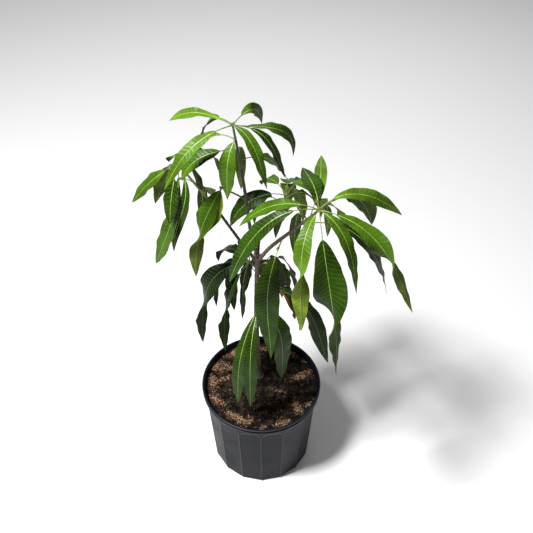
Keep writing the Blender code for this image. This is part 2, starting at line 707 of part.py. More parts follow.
def soil_edge_radius():
    """Radius of the soil at its surface, clear of the pot's inside."""
    inside_low = POT_NECK_RADIUS - POT_WALL - PANEL_STEP
    inside_high = POT_RIM_RADIUS - BEAD - POT_WALL
    share = (SOIL_LEVEL - PANEL_TOP) / (POT_HEIGHT - RIM_BAND - PANEL_TOP)
    return inside_low + (inside_high - inside_low) * share - SOIL_GAP


def soil_top_rings():
    """Rings of the soil's top, from the trunk's foot out to the wall, flat under the trunk."""
    rng = random.Random(SOIL_SEED)
    centre = Vector((TRUNK_FOOT.x, TRUNK_FOOT.y, SOIL_LEVEL))
    edge = pot_ring(soil_edge_radius(), SOIL_LEVEL, 0.0)
    rings = []
    for share in SOIL_RINGS:
        relief = SOIL_RELIEF if share > SOIL_RINGS[0] else 0.0
        rings.append([centre.lerp(point, share) - Vector((0, 0, rng.uniform(0, relief)))
                      for point in edge])
    return rings + [edge]


def build_soil():
    """The pot's fill of dark crumbly mix, a closed solid just clear of the plastic."""
    below = [pot_ring(radius, height + CLEARANCE, flatness)
             for radius, height, flatness in inside_rows(SOIL_GAP)]
    mix = finish("potting_mix", SOIL_COLOUR, SOIL_ROUGHNESS)
    stacked_object("soil", soil_top_rings() + below, mix)


def main():
    """Pot, soil and plant."""
    clear_scene()
    build_pot()
    build_soil()
    build_plant()


main()
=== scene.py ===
"""Looks of a young mango tree in its black nursery pot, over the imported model's solids.

Metres, +Z up, +X to the right and +Y away from the front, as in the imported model. The trunk and
boughs get bark in relief, each mass of leaves is grown again by its own rule with fine blades,
and the pot and the potting mix in it are modelled in full.
"""

import logging
import math
import random
from collections.abc import Callable, Iterable, Sequence
from dataclasses import dataclass, field
from enum import Enum
from functools import cache
from itertools import combinations

import bpy
import numpy as np
from mathutils import Matrix, Vector, noise
from mathutils.bvhtree import BVHTree


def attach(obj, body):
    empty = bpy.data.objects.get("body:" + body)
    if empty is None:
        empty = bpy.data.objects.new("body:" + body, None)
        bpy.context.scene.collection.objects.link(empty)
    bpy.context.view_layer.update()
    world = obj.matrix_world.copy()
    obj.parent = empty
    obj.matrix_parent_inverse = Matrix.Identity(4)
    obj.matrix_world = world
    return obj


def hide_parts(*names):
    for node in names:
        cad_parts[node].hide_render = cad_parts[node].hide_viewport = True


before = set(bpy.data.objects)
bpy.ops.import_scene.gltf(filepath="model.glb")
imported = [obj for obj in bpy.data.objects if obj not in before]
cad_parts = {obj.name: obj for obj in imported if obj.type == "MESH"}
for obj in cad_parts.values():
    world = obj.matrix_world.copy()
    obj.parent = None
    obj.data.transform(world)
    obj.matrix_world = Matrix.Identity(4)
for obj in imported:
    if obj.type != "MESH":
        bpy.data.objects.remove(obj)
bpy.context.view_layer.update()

MM = 0.001
CLEARANCE = 0.3 * MM
LOG = logging.getLogger("mango_sapling")
LEAF_PLACE = "leaf_place"
FEW_OCTAVES, SOME_OCTAVES, MANY_OCTAVES = 2.0, 3.0, 4.0
MIX_SHARE, MIX_FIRST, MIX_SECOND, MIX_RESULT = 0, 6, 7, 2

Colour = tuple[float, float, float]
Row = tuple[float, float, float]
Span = tuple[float, float]
Face = tuple[int, ...]


class Wire:
    """A socket in a material's nodes; sums written on it add Math nodes."""

    def __init__(self, nodes: "Nodes", socket: bpy.types.NodeSocket) -> None:
        """Wrap a socket of a material's nodes."""
        self.nodes = nodes
        self.socket = socket

    def _math(self, operation: str, *values: "Wire | float") -> "Wire":
        """Add one Math node with these inputs."""
        return self.nodes.add("ShaderNodeMath", {"operation": operation}, dict(enumerate(values)))

    def __add__(self, other: "Wire | float") -> "Wire":
        """Sum with a socket or number."""
        return self._math("ADD", self, other)

    def __sub__(self, other: "Wire | float") -> "Wire":
        """Difference from a socket or number."""
        return self._math("SUBTRACT", self, other)

    def __rsub__(self, other: float) -> "Wire":
        """A number less this."""
        return self._math("SUBTRACT", other, self)

    def __mul__(self, other: "Wire | float") -> "Wire":
        """Product with a socket or number."""
        return self._math("MULTIPLY", self, other)

    def __truediv__(self, other: "Wire | float") -> "Wire":
        """Quotient by a socket or number."""
        return self._math("DIVIDE", self, other)

    def __abs__(self) -> "Wire":
        """Size without sign."""
        return self._math("ABSOLUTE", self)

    def part(self) -> "Wire":
        """What is left over past the whole number."""
        return self._math("FRACT", self)

    def step(self, low: float, high: float) -> "Wire":
        """A smooth step from 0 at the low value to 1 at the high one."""
        ends = {"From Min": low, "From Max": high, "Value": self}
        return self.nodes.add("ShaderNodeMapRange", {"interpolation_type": "SMOOTHSTEP"}, ends)


class Nodes:
    """The nodes of one new material."""

    def __init__(self, name: str) -> None:
        """Start a material that holds only its output and a Principled shader."""
        self.material = bpy.data.materials.new(name)
        self.material.use_nodes = True
        self.tree = self.material.node_tree
        self.shader = self.tree.nodes["Principled BSDF"]

    def add(self, kind: str, settings: dict | None = None, inputs: dict | None = None,
            output: int | str = 0) -> Wire:
        """Add a node.

        Args:
            kind: The node's type.
            settings: Its own settings, set before its sockets.
            inputs: Values or wires by the socket's name or number.
            output: Name or number of the socket that is wanted.

        Returns:
            The wanted output.
        """
        node = self.tree.nodes.new(kind)
        for key, value in (settings or {}).items():
            setattr(node, key, value)
        self.feed(node, inputs or {})
        return Wire(self, node.outputs[output])

    def feed(self, node: bpy.types.Node, inputs: dict) -> None:
        """Set or link a node's inputs, given by the socket's name or number."""
        for key, value in inputs.items():
            if isinstance(value, Wire):
                self.tree.links.new(value.socket, node.inputs[key])
            else:
                node.inputs[key].default_value = value

    def place(self) -> Wire:
        """A point's place on the object, in metres."""
        return self.add("ShaderNodeTexCoord", output="Object")

    def axis(self, where: Wire, letter: str) -> Wire:
        """One coordinate of a place."""
        return self.add("ShaderNodeSeparateXYZ", None, {"Vector": where}, letter)

    def stretched(self, where: Wire, scale: Row) -> Wire:
        """A place scaled by its own factor along each axis."""
        return self.add("ShaderNodeMapping", {"vector_type": "POINT"}, {"Vector": where, "Scale": scale})

    def noise(self, where: Wire, scale: float, detail: float = SOME_OCTAVES,
              roughness: float = 0.55) -> Wire:
        """Cloudy noise.

        Args:
            where: The place to read it at.
            scale: Clouds for each metre.
            detail: Octaves.
            roughness: Weight of the finer octaves.

        Returns:
            A value about 0.5.
        """
        return self.add("ShaderNodeTexNoise", {"noise_dimensions": "3D"},
                        {"Vector": where, "Scale": scale, "Detail": detail, "Roughness": roughness})

    def cells(self, where: Wire, scale: float) -> Wire:
        """Distance from the middle of the nearest cell of a Voronoi pattern."""
        return self.add("ShaderNodeTexVoronoi", {"feature": "F1"}, {"Vector": where, "Scale": scale},
                        "Distance")

    def blend(self, share: Wire, first: Colour | Wire, second: Colour | Wire) -> Wire:
        """Colour that goes from the first to the second as the share goes from 0 to 1."""
        ends = [value if isinstance(value, Wire) else (*value, 1.0) for value in (first, second)]
        return self.add("ShaderNodeMix", {"data_type": "RGBA"},
                        {MIX_SHARE: share, MIX_FIRST: ends[0], MIX_SECOND: ends[1]}, MIX_RESULT)

    def bump(self, height: Wire, distance: float, strength: float) -> Wire:
        """Surface relief from a height between 0 and 1.

        Args:
            height: The relief's height.
            distance: Metres that a height of 1 stands for.
            strength: Share of the relief that shows.

        Returns:
            The bent normal.
        """
        return self.add("ShaderNodeBump", None,
                        {"Height": height, "Distance": distance, "Strength": strength})

    def finish(self, **sockets: Wire | float | Colour) -> bpy.types.Material:
        """Feed the shader.

        Args:
            sockets: Values or wires by the socket's name, with _ for a space.

        Returns:
            The material.
        """
        named = {}
        for key, value in sockets.items():
            name = key.replace("_", " ").title().replace("Ior", "IOR")
            named[name] = (*value, 1.0) if name == "Base Color" and isinstance(value, tuple) else value
        self.feed(self.shader, named)
        return self.material


def shades(colour: Colour, darker: float, lighter: float) -> tuple[Colour, Colour]:
    """A colour made darker by one factor, and lighter by another."""
    return tuple(darker * part for part in colour), tuple(min(1.0, lighter * part) for part in colour)


def about(level: float, cloud: Wire, spread: float) -> Wire:
    """A value that a cloud moves up and down from its level by half the spread."""
    return cloud * spread + (level - spread / 2)


@dataclass(frozen=True)
class LeafFinish:
    """Waxy, finely veined skin of one side of a leaf blade."""

    name: str
    colour: Colour
    roughness: float = 0.35
    roughness_spread: float = 0.14
    shine: float = 0.10
    blotch_scale: float = 22.0
    blotch_edge: Span = (0.30, 0.72)
    blotch_shades: Span = (0.62, 1.28)
    vein_spacing: float = 8.5 * MM
    vein_slant: float = 0.62
    vein_bend: float = 6.0
    vein_drift: float = 5.0 * MM
    drift_scale: float = 48.0
    vein_edge: Span = (0.72, 0.98)
    vein_paleness: float = 0.11
    pale: Colour = (0.24, 0.36, 0.05)
    fleck_scale: float = 420.0
    vein_relief: float = 0.7
    fleck_relief: float = 0.3
    relief_height: float = 0.7 * MM
    relief_strength: float = 0.6

    def material(self) -> bpy.types.Material:
        """Blade colour with pale side veins, soft blotches and relief between the veins.

        Returns:
            The material.
        """
        nodes = Nodes(self.name)
        spot = nodes.add("ShaderNodeAttribute", {"attribute_name": LEAF_PLACE}, output="Vector")
        side, along = abs(nodes.axis(spot, "X")), nodes.axis(spot, "Y")
        drift = nodes.noise(nodes.place(), self.drift_scale) * self.vein_drift
        slanted = along - side * self.vein_slant + side * side * self.vein_bend + drift
        vein = abs((slanted / self.vein_spacing).part() - 0.5) * 2.0
        cloud = nodes.noise(nodes.place(), self.blotch_scale)
        fleck = nodes.noise(nodes.place(), self.fleck_scale, FEW_OCTAVES)
        colour = nodes.blend(cloud.step(*self.blotch_edge), *shades(self.colour, *self.blotch_shades))
        colour = nodes.blend(vein.step(*self.vein_edge) * self.vein_paleness, colour, self.pale)
        relief = (1.0 - vein * vein) * self.vein_relief + fleck * self.fleck_relief
        return nodes.finish(base_color=colour, specular_ior_level=self.shine,
                            roughness=about(self.roughness, cloud, self.roughness_spread),
                            normal=nodes.bump(relief, self.relief_height, self.relief_strength))


@dataclass(frozen=True)
class RibFinish:
    """Smooth pale midrib, leaf stalk, twig or bud."""

    name: str
    colour: Colour
    roughness: float = 0.42
    roughness_spread: float = 0.2
    cloud_scale: float = 90.0
    cloud_edge: Span = (0.3, 0.7)
    cloud_shades: Span = (0.66, 1.2)
    fleck_scale: float = 900.0
    relief_height: float = 0.15 * MM
    relief_strength: float = 0.5

    def material(self) -> bpy.types.Material:
        """Pale colour that is faintly clouded and dotted.

        Returns:
            The material.
        """
        nodes = Nodes(self.name)
        cloud = nodes.noise(nodes.place(), self.cloud_scale)
        fleck = nodes.noise(nodes.place(), self.fleck_scale, FEW_OCTAVES)
        colour = nodes.blend(cloud.step(*self.cloud_edge), *shades(self.colour, *self.cloud_shades))
        return nodes.finish(base_color=colour,
                            roughness=about(self.roughness, cloud, self.roughness_spread),
                            normal=nodes.bump(fleck, self.relief_height, self.relief_strength))


@dataclass(frozen=True)
class BarkFinish:
    """Young bark: streaked along the limb, with pale breathing pores and dark crevices."""

    name: str
    colour: Colour
    crevice: Colour
    pore: Colour
    roughness: float = 0.72
    roughness_spread: float = 0.2
    streak_stretch: Row = (1.0, 1.0, 0.16)
    streak_scale: float = 520.0
    streak_weight: float = 0.6
    streak_edge: Span = (0.36, 0.62)
    cloud_scale: float = 45.0
    cloud_edge: Span = (0.55, 0.80)
    cloud_share: float = 0.5
    pore_stretch: Row = (1.0, 1.0, 1.8)
    pore_scale: float = 210.0
    pore_edge: Span = (0.10, 0.24)
    pore_share: float = 0.55
    streak_relief: float = 0.7
    pore_relief: float = 0.4
    relief_height: float = 0.6 * MM
    relief_strength: float = 0.7

    def material(self) -> bpy.types.Material:
        """Streaks, pores and crevices in colour and relief.

        Returns:
            The material.
        """
        nodes = Nodes(self.name)
        where = nodes.place()
        streak = nodes.noise(nodes.stretched(where, self.streak_stretch), self.streak_scale, MANY_OCTAVES,
                             self.streak_weight)
        cloud = nodes.noise(where, self.cloud_scale)
        cells = nodes.cells(nodes.stretched(where, self.pore_stretch), self.pore_scale)
        pore = 1.0 - cells.step(*self.pore_edge)
        colour = nodes.blend(streak.step(*self.streak_edge), self.crevice, self.colour)
        colour = nodes.blend(cloud.step(*self.cloud_edge) * self.cloud_share, colour, self.pore)
        colour = nodes.blend(pore * self.pore_share, colour, self.pore)
        relief = streak * self.streak_relief + pore * self.pore_relief
        return nodes.finish(base_color=colour,
                            roughness=about(self.roughness, streak, self.roughness_spread),
                            normal=nodes.bump(relief, self.relief_height, self.relief_strength))


@dataclass(frozen=True)
class PlasticFinish:
    """Black moulded plastic, dusty and lightly scuffed."""

    name: str
    colour: Colour
    dust: Colour = (0.020, 0.021, 0.027)
    shine: float = 0.09
    roughness: float = 0.40
    roughness_spread: float = 0.08
    dust_roughness: float = 0.6
    rub_stretch: Row = (1.0, 1.0, 0.12)
    rub_scale: float = 160.0
    rub_weight: float = 0.6
    rub_edge: Span = (0.60, 0.78)
    rub_dust: float = 0.12
    cloud_scale: float = 16.0
    cloud_edge: Span = (0.50, 0.78)
    cloud_dust: float = 0.20
    foot_edge: Span = (0.0, 0.07)
    foot_dust: float = 0.16
    grain_scale: float = 1500.0
    grain_relief: float = 0.6
    rub_relief: float = 0.4
    relief_height: float = 0.12 * MM
    relief_strength: float = 0.5

    def material(self) -> bpy.types.Material:
        """Satin black with a dusty foot, vertical rub marks and a fine moulded grain.

        Returns:
            The material.
        """
        nodes = Nodes(self.name)
        where = nodes.place()
        rubs = nodes.noise(nodes.stretched(where, self.rub_stretch), self.rub_scale, MANY_OCTAVES,
                           self.rub_weight)
        cloud = nodes.noise(where, self.cloud_scale, MANY_OCTAVES)
        grain = nodes.noise(where, self.grain_scale, FEW_OCTAVES)
        foot = 1.0 - nodes.axis(where, "Z").step(*self.foot_edge)
        dusty = cloud.step(*self.cloud_edge) * self.cloud_dust + rubs.step(*self.rub_edge) * self.rub_dust \
            + foot * cloud * self.foot_dust
        relief = grain * self.grain_relief + rubs * self.rub_relief
        return nodes.finish(base_color=nodes.blend(dusty, self.colour, self.dust),
                            roughness=dusty * self.dust_roughness
                            + about(self.roughness, cloud, self.roughness_spread),
                            specular_ior_level=self.shine,
                            normal=nodes.bump(relief, self.relief_height, self.relief_strength))


@dataclass(frozen=True)
class MixFinish:
    """Crumbly potting mix, or one of the chips in it."""

    name: str
    colour: Colour
    light: Colour
    roughness: float = 0.95
    shine: float = 0.1
    cloud_scale: float = 70.0
    cloud_share: float = 0.5
    grain_scale: float = 500.0
    grain_weight: float = 0.7
    grain_share: float = 0.6
    light_edge: Span = (0.53, 0.66)
    crumb_scale: float = 300.0
    crumb_relief: float = 0.5
    grain_relief: float = 0.7
    relief_height: float = 1.2 * MM
    relief_strength: float = 0.8

    def material(self) -> bpy.types.Material:
        """Mottled crumbs with a rough dry surface.

        Returns:
            The material.
        """
        nodes = Nodes(self.name)
        where = nodes.place()
        cloud = nodes.noise(where, self.cloud_scale, MANY_OCTAVES)
        grain = nodes.noise(where, self.grain_scale, MANY_OCTAVES, self.grain_weight)
        share = (cloud * self.cloud_share + grain * self.grain_share).step(*self.light_edge)
        relief = nodes.cells(where, self.crumb_scale) * self.crumb_relief + grain * self.grain_relief
        return nodes.finish(base_color=nodes.blend(share, self.colour, self.light),
                            roughness=self.roughness, specular_ior_level=self.shine,
                            normal=nodes.bump(relief, self.relief_height, self.relief_strength))


Finish = LeafFinish | RibFinish | BarkFinish | PlasticFinish | MixFinish
YOUNG_RIB: Colour = (0.26, 0.37, 0.075)
OLD_RIB: Colour = (0.09, 0.15, 0.035)
UNDERSIDE = {"roughness": 0.6, "shine": 0.04, "vein_paleness": 0.30}


class Tint(Enum):
    """The greens that leaves are dealt: upper face, underside and rib. Several are copies of one green,
    lightened for painted sunlight and darkened for painted half shade and painted shade.
    """

    # Painted sunlight: a lighter copy of the fresh green.
    SUNLIT = ((0.070, 0.150, 0.007), (0.190, 0.270, 0.035), YOUNG_RIB)
    FRESH = ((0.042, 0.098, 0.004), (0.120, 0.170, 0.032), YOUNG_RIB)
    # Painted half shade: a darker copy of the fresh green.
    DEEP = ((0.017, 0.046, 0.002), (0.056, 0.086, 0.024), YOUNG_RIB)
    YELLOWISH = ((0.200, 0.290, 0.015), (0.280, 0.360, 0.030), YOUNG_RIB)
    # Painted shade: a much darker copy of the fresh green.
    SHADED = ((0.008, 0.021, 0.002), (0.030, 0.046, 0.016), OLD_RIB)
    # Painted shade, with a painted bluish reflection of the sky.
    BLUISH = ((0.007, 0.016, 0.005), (0.036, 0.050, 0.028), OLD_RIB)
    DRIED = ((0.230, 0.120, 0.035), (0.200, 0.105, 0.035), OLD_RIB)

    def finishes(self) -> tuple[Finish, ...]:
        """Finishes of the upper face, the underside and the rib, in that order."""
        upper, under, rib = self.value
        label = self.name.lower()
        return (LeafFinish(f"leaf_{label}_upper", upper),
                LeafFinish(f"leaf_{label}_under", under, **UNDERSIDE),
                RibFinish(f"leaf_{label}_rib", rib))


@cache
def material_of(finish: Finish) -> bpy.types.Material:
    """The material of a finish, made once."""
    return finish.material()


GREY_BARK = BarkFinish("bark_grey_brown", (0.150, 0.105, 0.070), (0.050, 0.033, 0.022),
                       (0.260, 0.205, 0.150))
GREEN_BARK = BarkFinish("bark_green_brown", (0.060, 0.062, 0.026), (0.028, 0.022, 0.014),
                        (0.150, 0.130, 0.070), roughness=0.55)
TWIG_GREEN = RibFinish("twig_green", (0.075, 0.100, 0.025), roughness=0.5)
# Bright lime that paints sunlight on a twig and its stalks.
SUNLIT_STALK = RibFinish("stalk_lime", (0.330, 0.440, 0.070))
STALK_GREEN = RibFinish("stalk_green", (0.150, 0.200, 0.040))
STALK_DARK = RibFinish("stalk_dark", (0.085, 0.100, 0.040))
DRY_SCALE = RibFinish("dry_bud_scale", (0.180, 0.070, 0.035), roughness=0.7)
BUD_GREEN = RibFinish("bud_green", (0.130, 0.190, 0.045))
BLACK_PLASTIC = PlasticFinish("moulded_black_plastic", (0.006, 0.007, 0.013))
# Lighter, shinier plastic that paints highlights on the pot's creases, arch edges and bead crests.
HIGHLIGHT_PLASTIC = PlasticFinish("rubbed_black_plastic", (0.028, 0.030, 0.038), shine=0.4)
DARK_MIX = MixFinish("dark_potting_mix", (0.0025, 0.0018, 0.0014), (0.040, 0.029, 0.021))
MIX_CRUMB = MixFinish("mix_crumb", (0.016, 0.010, 0.006), (0.060, 0.036, 0.022))
# Pale tan mix that paints patches of sunlight on the bed.
SUN_FLECK_MIX = MixFinish("dry_potting_mix", (0.060, 0.034, 0.019), (0.300, 0.185, 0.110))
TAN_CHIP = MixFinish("tan_chip", (0.220, 0.135, 0.080), (0.460, 0.310, 0.190))
# Brown chips and crumbs. On the bed it paints the half light at the edge of each sunlit patch.
BROWN_CHIP_AND_FLECK_EDGE = MixFinish("brown_chip", (0.070, 0.038, 0.022), (0.180, 0.105, 0.060))


def put(name: str, data: bpy.types.ID) -> bpy.types.Object:
    """A new object in the scene."""
    item = bpy.data.objects.new(name, data)
    bpy.context.scene.collection.objects.link(item)
    return item


@dataclass
class MeshData:
    """Vertices, faces, material numbers and leaf places that grow into one joined mesh."""

    points: list[np.ndarray] = field(default_factory=list)
    places: list[np.ndarray] = field(default_factory=list)
    faces: list[Face] = field(default_factory=list)
    slots: list[int] = field(default_factory=list)
    count: int = 0

    def take(self, points: np.ndarray, faces: Iterable[Face], slots: Iterable[int],
             places: np.ndarray | None = None) -> None:
        """Add one closed body.

        Args:
            points: Its vertices.
            faces: Its faces, numbered from 0.
            slots: A material number for each face.
            places: Place on the leaf for each vertex, where it is part of a leaf.
        """
        self.points.append(points)
        self.places.append(np.zeros_like(points) if places is None else places)
        self.faces.extend(tuple(index + self.count for index in face) for face in faces)
        self.slots.extend(slots)
        self.count += len(points)

    def make(self, name: str, finishes: Sequence[Finish], nodes: Sequence[str],
             smooth: bool = True) -> bpy.types.Object:
        """Make the object and tie it to the frame.

        Args:
            name: Its name.
            finishes: The finishes that the numbers stand for.
            nodes: The solids it stands in for.
            smooth: Whether its faces shade smooth.

        Returns:
            The object.
        """
        mesh = bpy.data.meshes.new(name)
        mesh.from_pydata(np.concatenate(self.points).tolist(), [], self.faces)
        for finish in finishes:
            mesh.materials.append(material_of(finish))
        mesh.polygons.foreach_set("material_index", self.slots)
        mesh.polygons.foreach_set("use_smooth", [smooth] * len(self.faces))
        spots = mesh.attributes.new(LEAF_PLACE, "FLOAT_VECTOR", "POINT")
        spots.data.foreach_set("vector", np.concatenate(self.places).ravel())
        mesh.update()
        item = put(name, mesh)
        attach(item, "root")
        if nodes:
            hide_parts(*nodes)
        LOG.info("%s: %d triangles", name, sum(len(face) - 2 for face in self.faces))
        return item


# Rule of growth, as in the solids
SOIL_LEVEL = 0.235
TRUNK_FOOT = Vector((-0.006, 0.030, SOIL_LEVEL + CLEARANCE))
TRUNK_KNEE = Vector((-0.010, 0.016, 0.44))
FORK = Vector((-0.006, 0.000, 0.668))
BELOW_FORK = Vector((-0.0065, 0.001, 0.650))
FLARE_HEIGHT = 0.01
LIMB_SIDES = 8
RING_SPACING = 0.045
PATH_STEP = 2 * MM
LEAF_THICKNESS = 0.013
LEAF_FOLD = 0.04
PETIOLE_RADIUS = 1.3 * MM
BLADE_STATIONS = (0.0, 0.10, 0.26, 0.44, 0.60, 0.75, 0.88)
TWIST_SPAN = (0.30, 0.72)
BASE_FULLNESS = 0.65
TIP_FULLNESS = 0.9
THICKNESS_SPREAD = 1.5
STALK_RINGS = 2
LEAF_SIDES = 4
CURVE_PULL = 0.42
CURVE_SAMPLES = 40
TOUCH_MARGIN = 0.8 * MM
GOLDEN_ANGLE = 137.5
FILL_TRIES = 12
FILL_TURN = (0, 60)
FILL_REACH = (0.75, 1.15)
FILL_DROP = (0.7, 1.15)
FILL_RISE = (10, 40)
FILL_FALL = (70, 88)
FILL_WIDTH = (28, 36)
FILL_ALONG = (0.4, 1.0)


def heading(azimuth: float, pitch: float) -> Vector:
    """Unit vector at a compass angle and an angle above the horizontal.

    Args:
        azimuth: Degrees from +X towards +Y.
        pitch: Degrees above the horizontal.

    Returns:
        The direction.
    """
    a, p = math.radians(azimuth), math.radians(pitch)
    return Vector((math.cos(a) * math.cos(p), math.sin(a) * math.cos(p), math.sin(p)))


def ring_faces(rings: int, around: int) -> list[Face]:
    """Quads between successive rings.

    Args:
        rings: Number of rings.
        around: Vertices in each.

    Returns:
        The faces, ring by ring.
    """
    return [(r * around + k, r * around + (k + 1) % around,
             (r + 1) * around + (k + 1) % around, (r + 1) * around + k)
            for r in range(rings - 1) for k in range(around)]


def closed_faces(rings: int, around: int, clockwise: bool = False) -> list[Face]:
    """Faces of a closed body, wound outward: quads between its rings, and a cap at each end.

    Args:
        rings: Number of rings.
        around: Vertices in each.
        clockwise: Whether each ring runs clockwise, seen from the last one.

    Returns:
        The quads, ring by ring, and then the caps of the first and last ring.
    """
    last = (rings - 1) * around
    faces = [*ring_faces(rings, around), tuple(range(around)), tuple(range(last, last + around))]
    if clockwise:
        faces[:-2] = [(face[0], *face[:0:-1]) for face in faces[:-2]]
        faces[-1] = faces[-1][::-1]
    else:
        faces[-2] = faces[-2][::-1]
    return faces


def smooth_path(points: Sequence[Vector], spacing: float) -> list[Vector]:
    """Points along a Catmull-Rom curve.

    Args:
        points: The points that it runs through.
        spacing: Wanted distance between neighbours.

    Returns:
        The curve's points.
    """
    ends = [points[0] * 2 - points[1], *points, points[-1] * 2 - points[-2]]
    path = []
    for a, b, c, d in zip(ends, ends[1:], ends[2:], ends[3:]):
        steps = max(1, round((c - b).length / spacing))
        for k in range(steps):
            t = k / steps
            path.append(0.5 * (b * 2 + (c - a) * t + (a * 2 - b * 5 + c * 4 - d) * t ** 2
                               + (b * 3 - a - c * 3 + d) * t ** 3))
    return path + [points[-1]]


def lengths_along(path: Sequence[Vector]) -> list[float]:
    """Distance of each point of a path from its first."""
    total = [0.0]
    for a, b in zip(path, path[1:]):
        total.append(total[-1] + (b - a).length)
    return total


def tree_of(points: Sequence[Vector], faces: Sequence[Face]) -> BVHTree:
    """Search tree for testing whether two solids touch."""
    return BVHTree.FromPolygons([tuple(point) for point in points], faces)


def turned_frames(path: Sequence[Vector], side: Vector) -> list[tuple[Vector, Vector, Vector]]:
    """Carry a side direction along a path without twisting it.

    Args:
        path: The path's points.
        side: Direction to start with.

    Returns:
        Tangent, side and up for each point.
    """
    frames = []
    for k in range(len(path)):
        tangent = (path[min(k + 1, len(path) - 1)] - path[max(k - 1, 0)]).normalized()
        side = (side - tangent * side.dot(tangent)).normalized()
        frames.append((tangent, side, tangent.cross(side)))
    return frames


@dataclass(frozen=True)
class Limb:
    """One tapering limb: the points it runs through and its radius at foot and tip."""

    points: tuple[Vector, ...]
    foot_radius: float
    tip_radius: float
    flare: float = 0.0

    def point_at(self, share: float) -> Vector:
        """The point at a share of its length."""
        path = smooth_path(self.points, PATH_STEP)
        total = lengths_along(path)
        target = share * total[-1]
        for a, b, start, end in zip(path, path[1:], total, total[1:]):
            if end >= target:
                return a.lerp(b, (target - start) / (end - start))
        return path[-1]

    def radius_at(self, distance: float, length: float) -> float:
        """Its radius at a distance from its foot."""
        taper = self.foot_radius + (self.tip_radius - self.foot_radius) * distance / length
        return taper + self.flare * math.exp(-distance / FLARE_HEIGHT)

    def tree(self) -> BVHTree:
        """Search tree of its coarse surface."""
        path = smooth_path(self.points, RING_SPACING)
        total = lengths_along(path)
        points = []
        for centre, distance, (_, side, up) in zip(path, total, turned_frames(path, Vector((1, 0, 0)))):
            radius = self.radius_at(distance, total[-1])
            for step in range(LIMB_SIDES):
                angle = 2 * math.pi * step / LIMB_SIDES
                points.append(centre + (side * math.cos(angle) + up * math.sin(angle)) * radius)
        return tree_of(points, ring_faces(len(path), LIMB_SIDES))


def limb(points: Sequence[Row], foot: float, tip: float, flare: float = 0.0) -> Limb:
    """A limb through these points in metres, with its radii in millimetres."""
    return Limb(tuple(Vector(point) for point in points), foot * MM, tip * MM, flare * MM)


def blade_width(t: float, widest: float) -> float:
    """Share of a blade's greatest width.

    Args:
        t: Share of the blade's length from its foot.
        widest: Share where it is widest.

    Returns:
        The width's share.
    """
    if t < widest:
        return math.sin(math.pi / 2 * t / widest) ** BASE_FULLNESS
    return max(0.0, math.cos(math.pi / 2 * (t - widest) / (1 - widest))) ** TIP_FULLNESS


@dataclass(frozen=True)
class Leaf:
    """One leaf, in degrees and millimetres: where its tip lies from its foot, and how it bends."""

    azimuth: float
    reach: float
    drop: float
    rise: float = 35
    fall: float = 75
    width: float = 38
    petiole: float = 32
    roll: float = 0
    twist: float = 0
    swing: float = 0
    along: float = 1.0
    widest: float = 0.42

    def curve(self, foot: Vector) -> list[Vector]:
        """Midline from its foot, up, over and down to its tip."""
        tip = foot + heading(self.azimuth, 0) * self.reach * MM - Vector((0, 0, self.drop * MM))
        pull = CURVE_PULL * (tip - foot).length
        knee = foot + heading(self.azimuth + self.swing, self.rise) * pull
        shoulder = tip - heading(self.azimuth - self.swing, -self.fall) * pull
        path = []
        for k in range(CURVE_SAMPLES + 1):
            t = k / CURVE_SAMPLES
            path.append(foot * (1 - t) ** 3 + knee * 3 * t * (1 - t) ** 2
                        + shoulder * 3 * t ** 2 * (1 - t) + tip * t ** 3)
        return path

    def turn(self, share: float) -> float:
        """Turn about its midline in radians: its twist comes in along its tail."""
        start, end = TWIST_SPAN
        t = min(1.0, max(0.0, (share - start) / (end - start)))
        return math.radians(self.roll + self.twist * t * t * (3 - 2 * t))

    def space(self, foot: Vector, grow: float = 0.0) -> tuple[list[Vector], list[Face]]:
        """The coarse solid whose space the leaf keeps to.

        Args:
            foot: Where it springs from.
            grow: Extra thickness all round.

        Returns:
            Its vertices and faces.
        """
        path = self.curve(foot)
        total = lengths_along(path)
        length = total[-1]
        stalk = self.petiole * MM / length
        marks = [(stalk * k / STALK_RINGS, 0.0) for k in range(STALK_RINGS)]
        marks += [(stalk + (1 - stalk) * t, blade_width(t, self.widest)) for t in BLADE_STATIONS]
        side = heading(self.azimuth + 90, 0)
        half, thick = self.width * MM / 2 + grow, LEAF_THICKNESS * length / 2 + grow
        points, k = [], 0
        for share, spread in marks:
            while total[k + 1] < share * length:
                k += 1
            centre = path[k].lerp(path[k + 1], (share * length - total[k]) / (total[k + 1] - total[k]))
            tangent = (path[k + 1] - path[k]).normalized()
            side = (side - tangent * side.dot(tangent)).normalized()
            up = tangent.cross(side)
            turn = self.turn(share)
            across = side * math.cos(turn) + up * math.sin(turn)
            above = tangent.cross(across)
            wide = max(half * spread, PETIOLE_RADIUS + grow)
            deep = max(thick * min(1.0, spread * THICKNESS_SPREAD), PETIOLE_RADIUS + grow)
            fold = above * (LEAF_FOLD * 2 * wide if spread else 0.0)
            points += [centre + across * wide + fold, centre + above * deep,
                       centre - across * wide + fold, centre - above * deep]
        rings = len(marks)
        points.append(path[-1])
        last = (rings - 1) * LEAF_SIDES
        faces = ring_faces(rings, LEAF_SIDES) + [tuple(range(LEAF_SIDES))]
        faces += [(last + k, last + (k + 1) % LEAF_SIDES, last + LEAF_SIDES) for k in range(LEAF_SIDES)]
        return points, faces


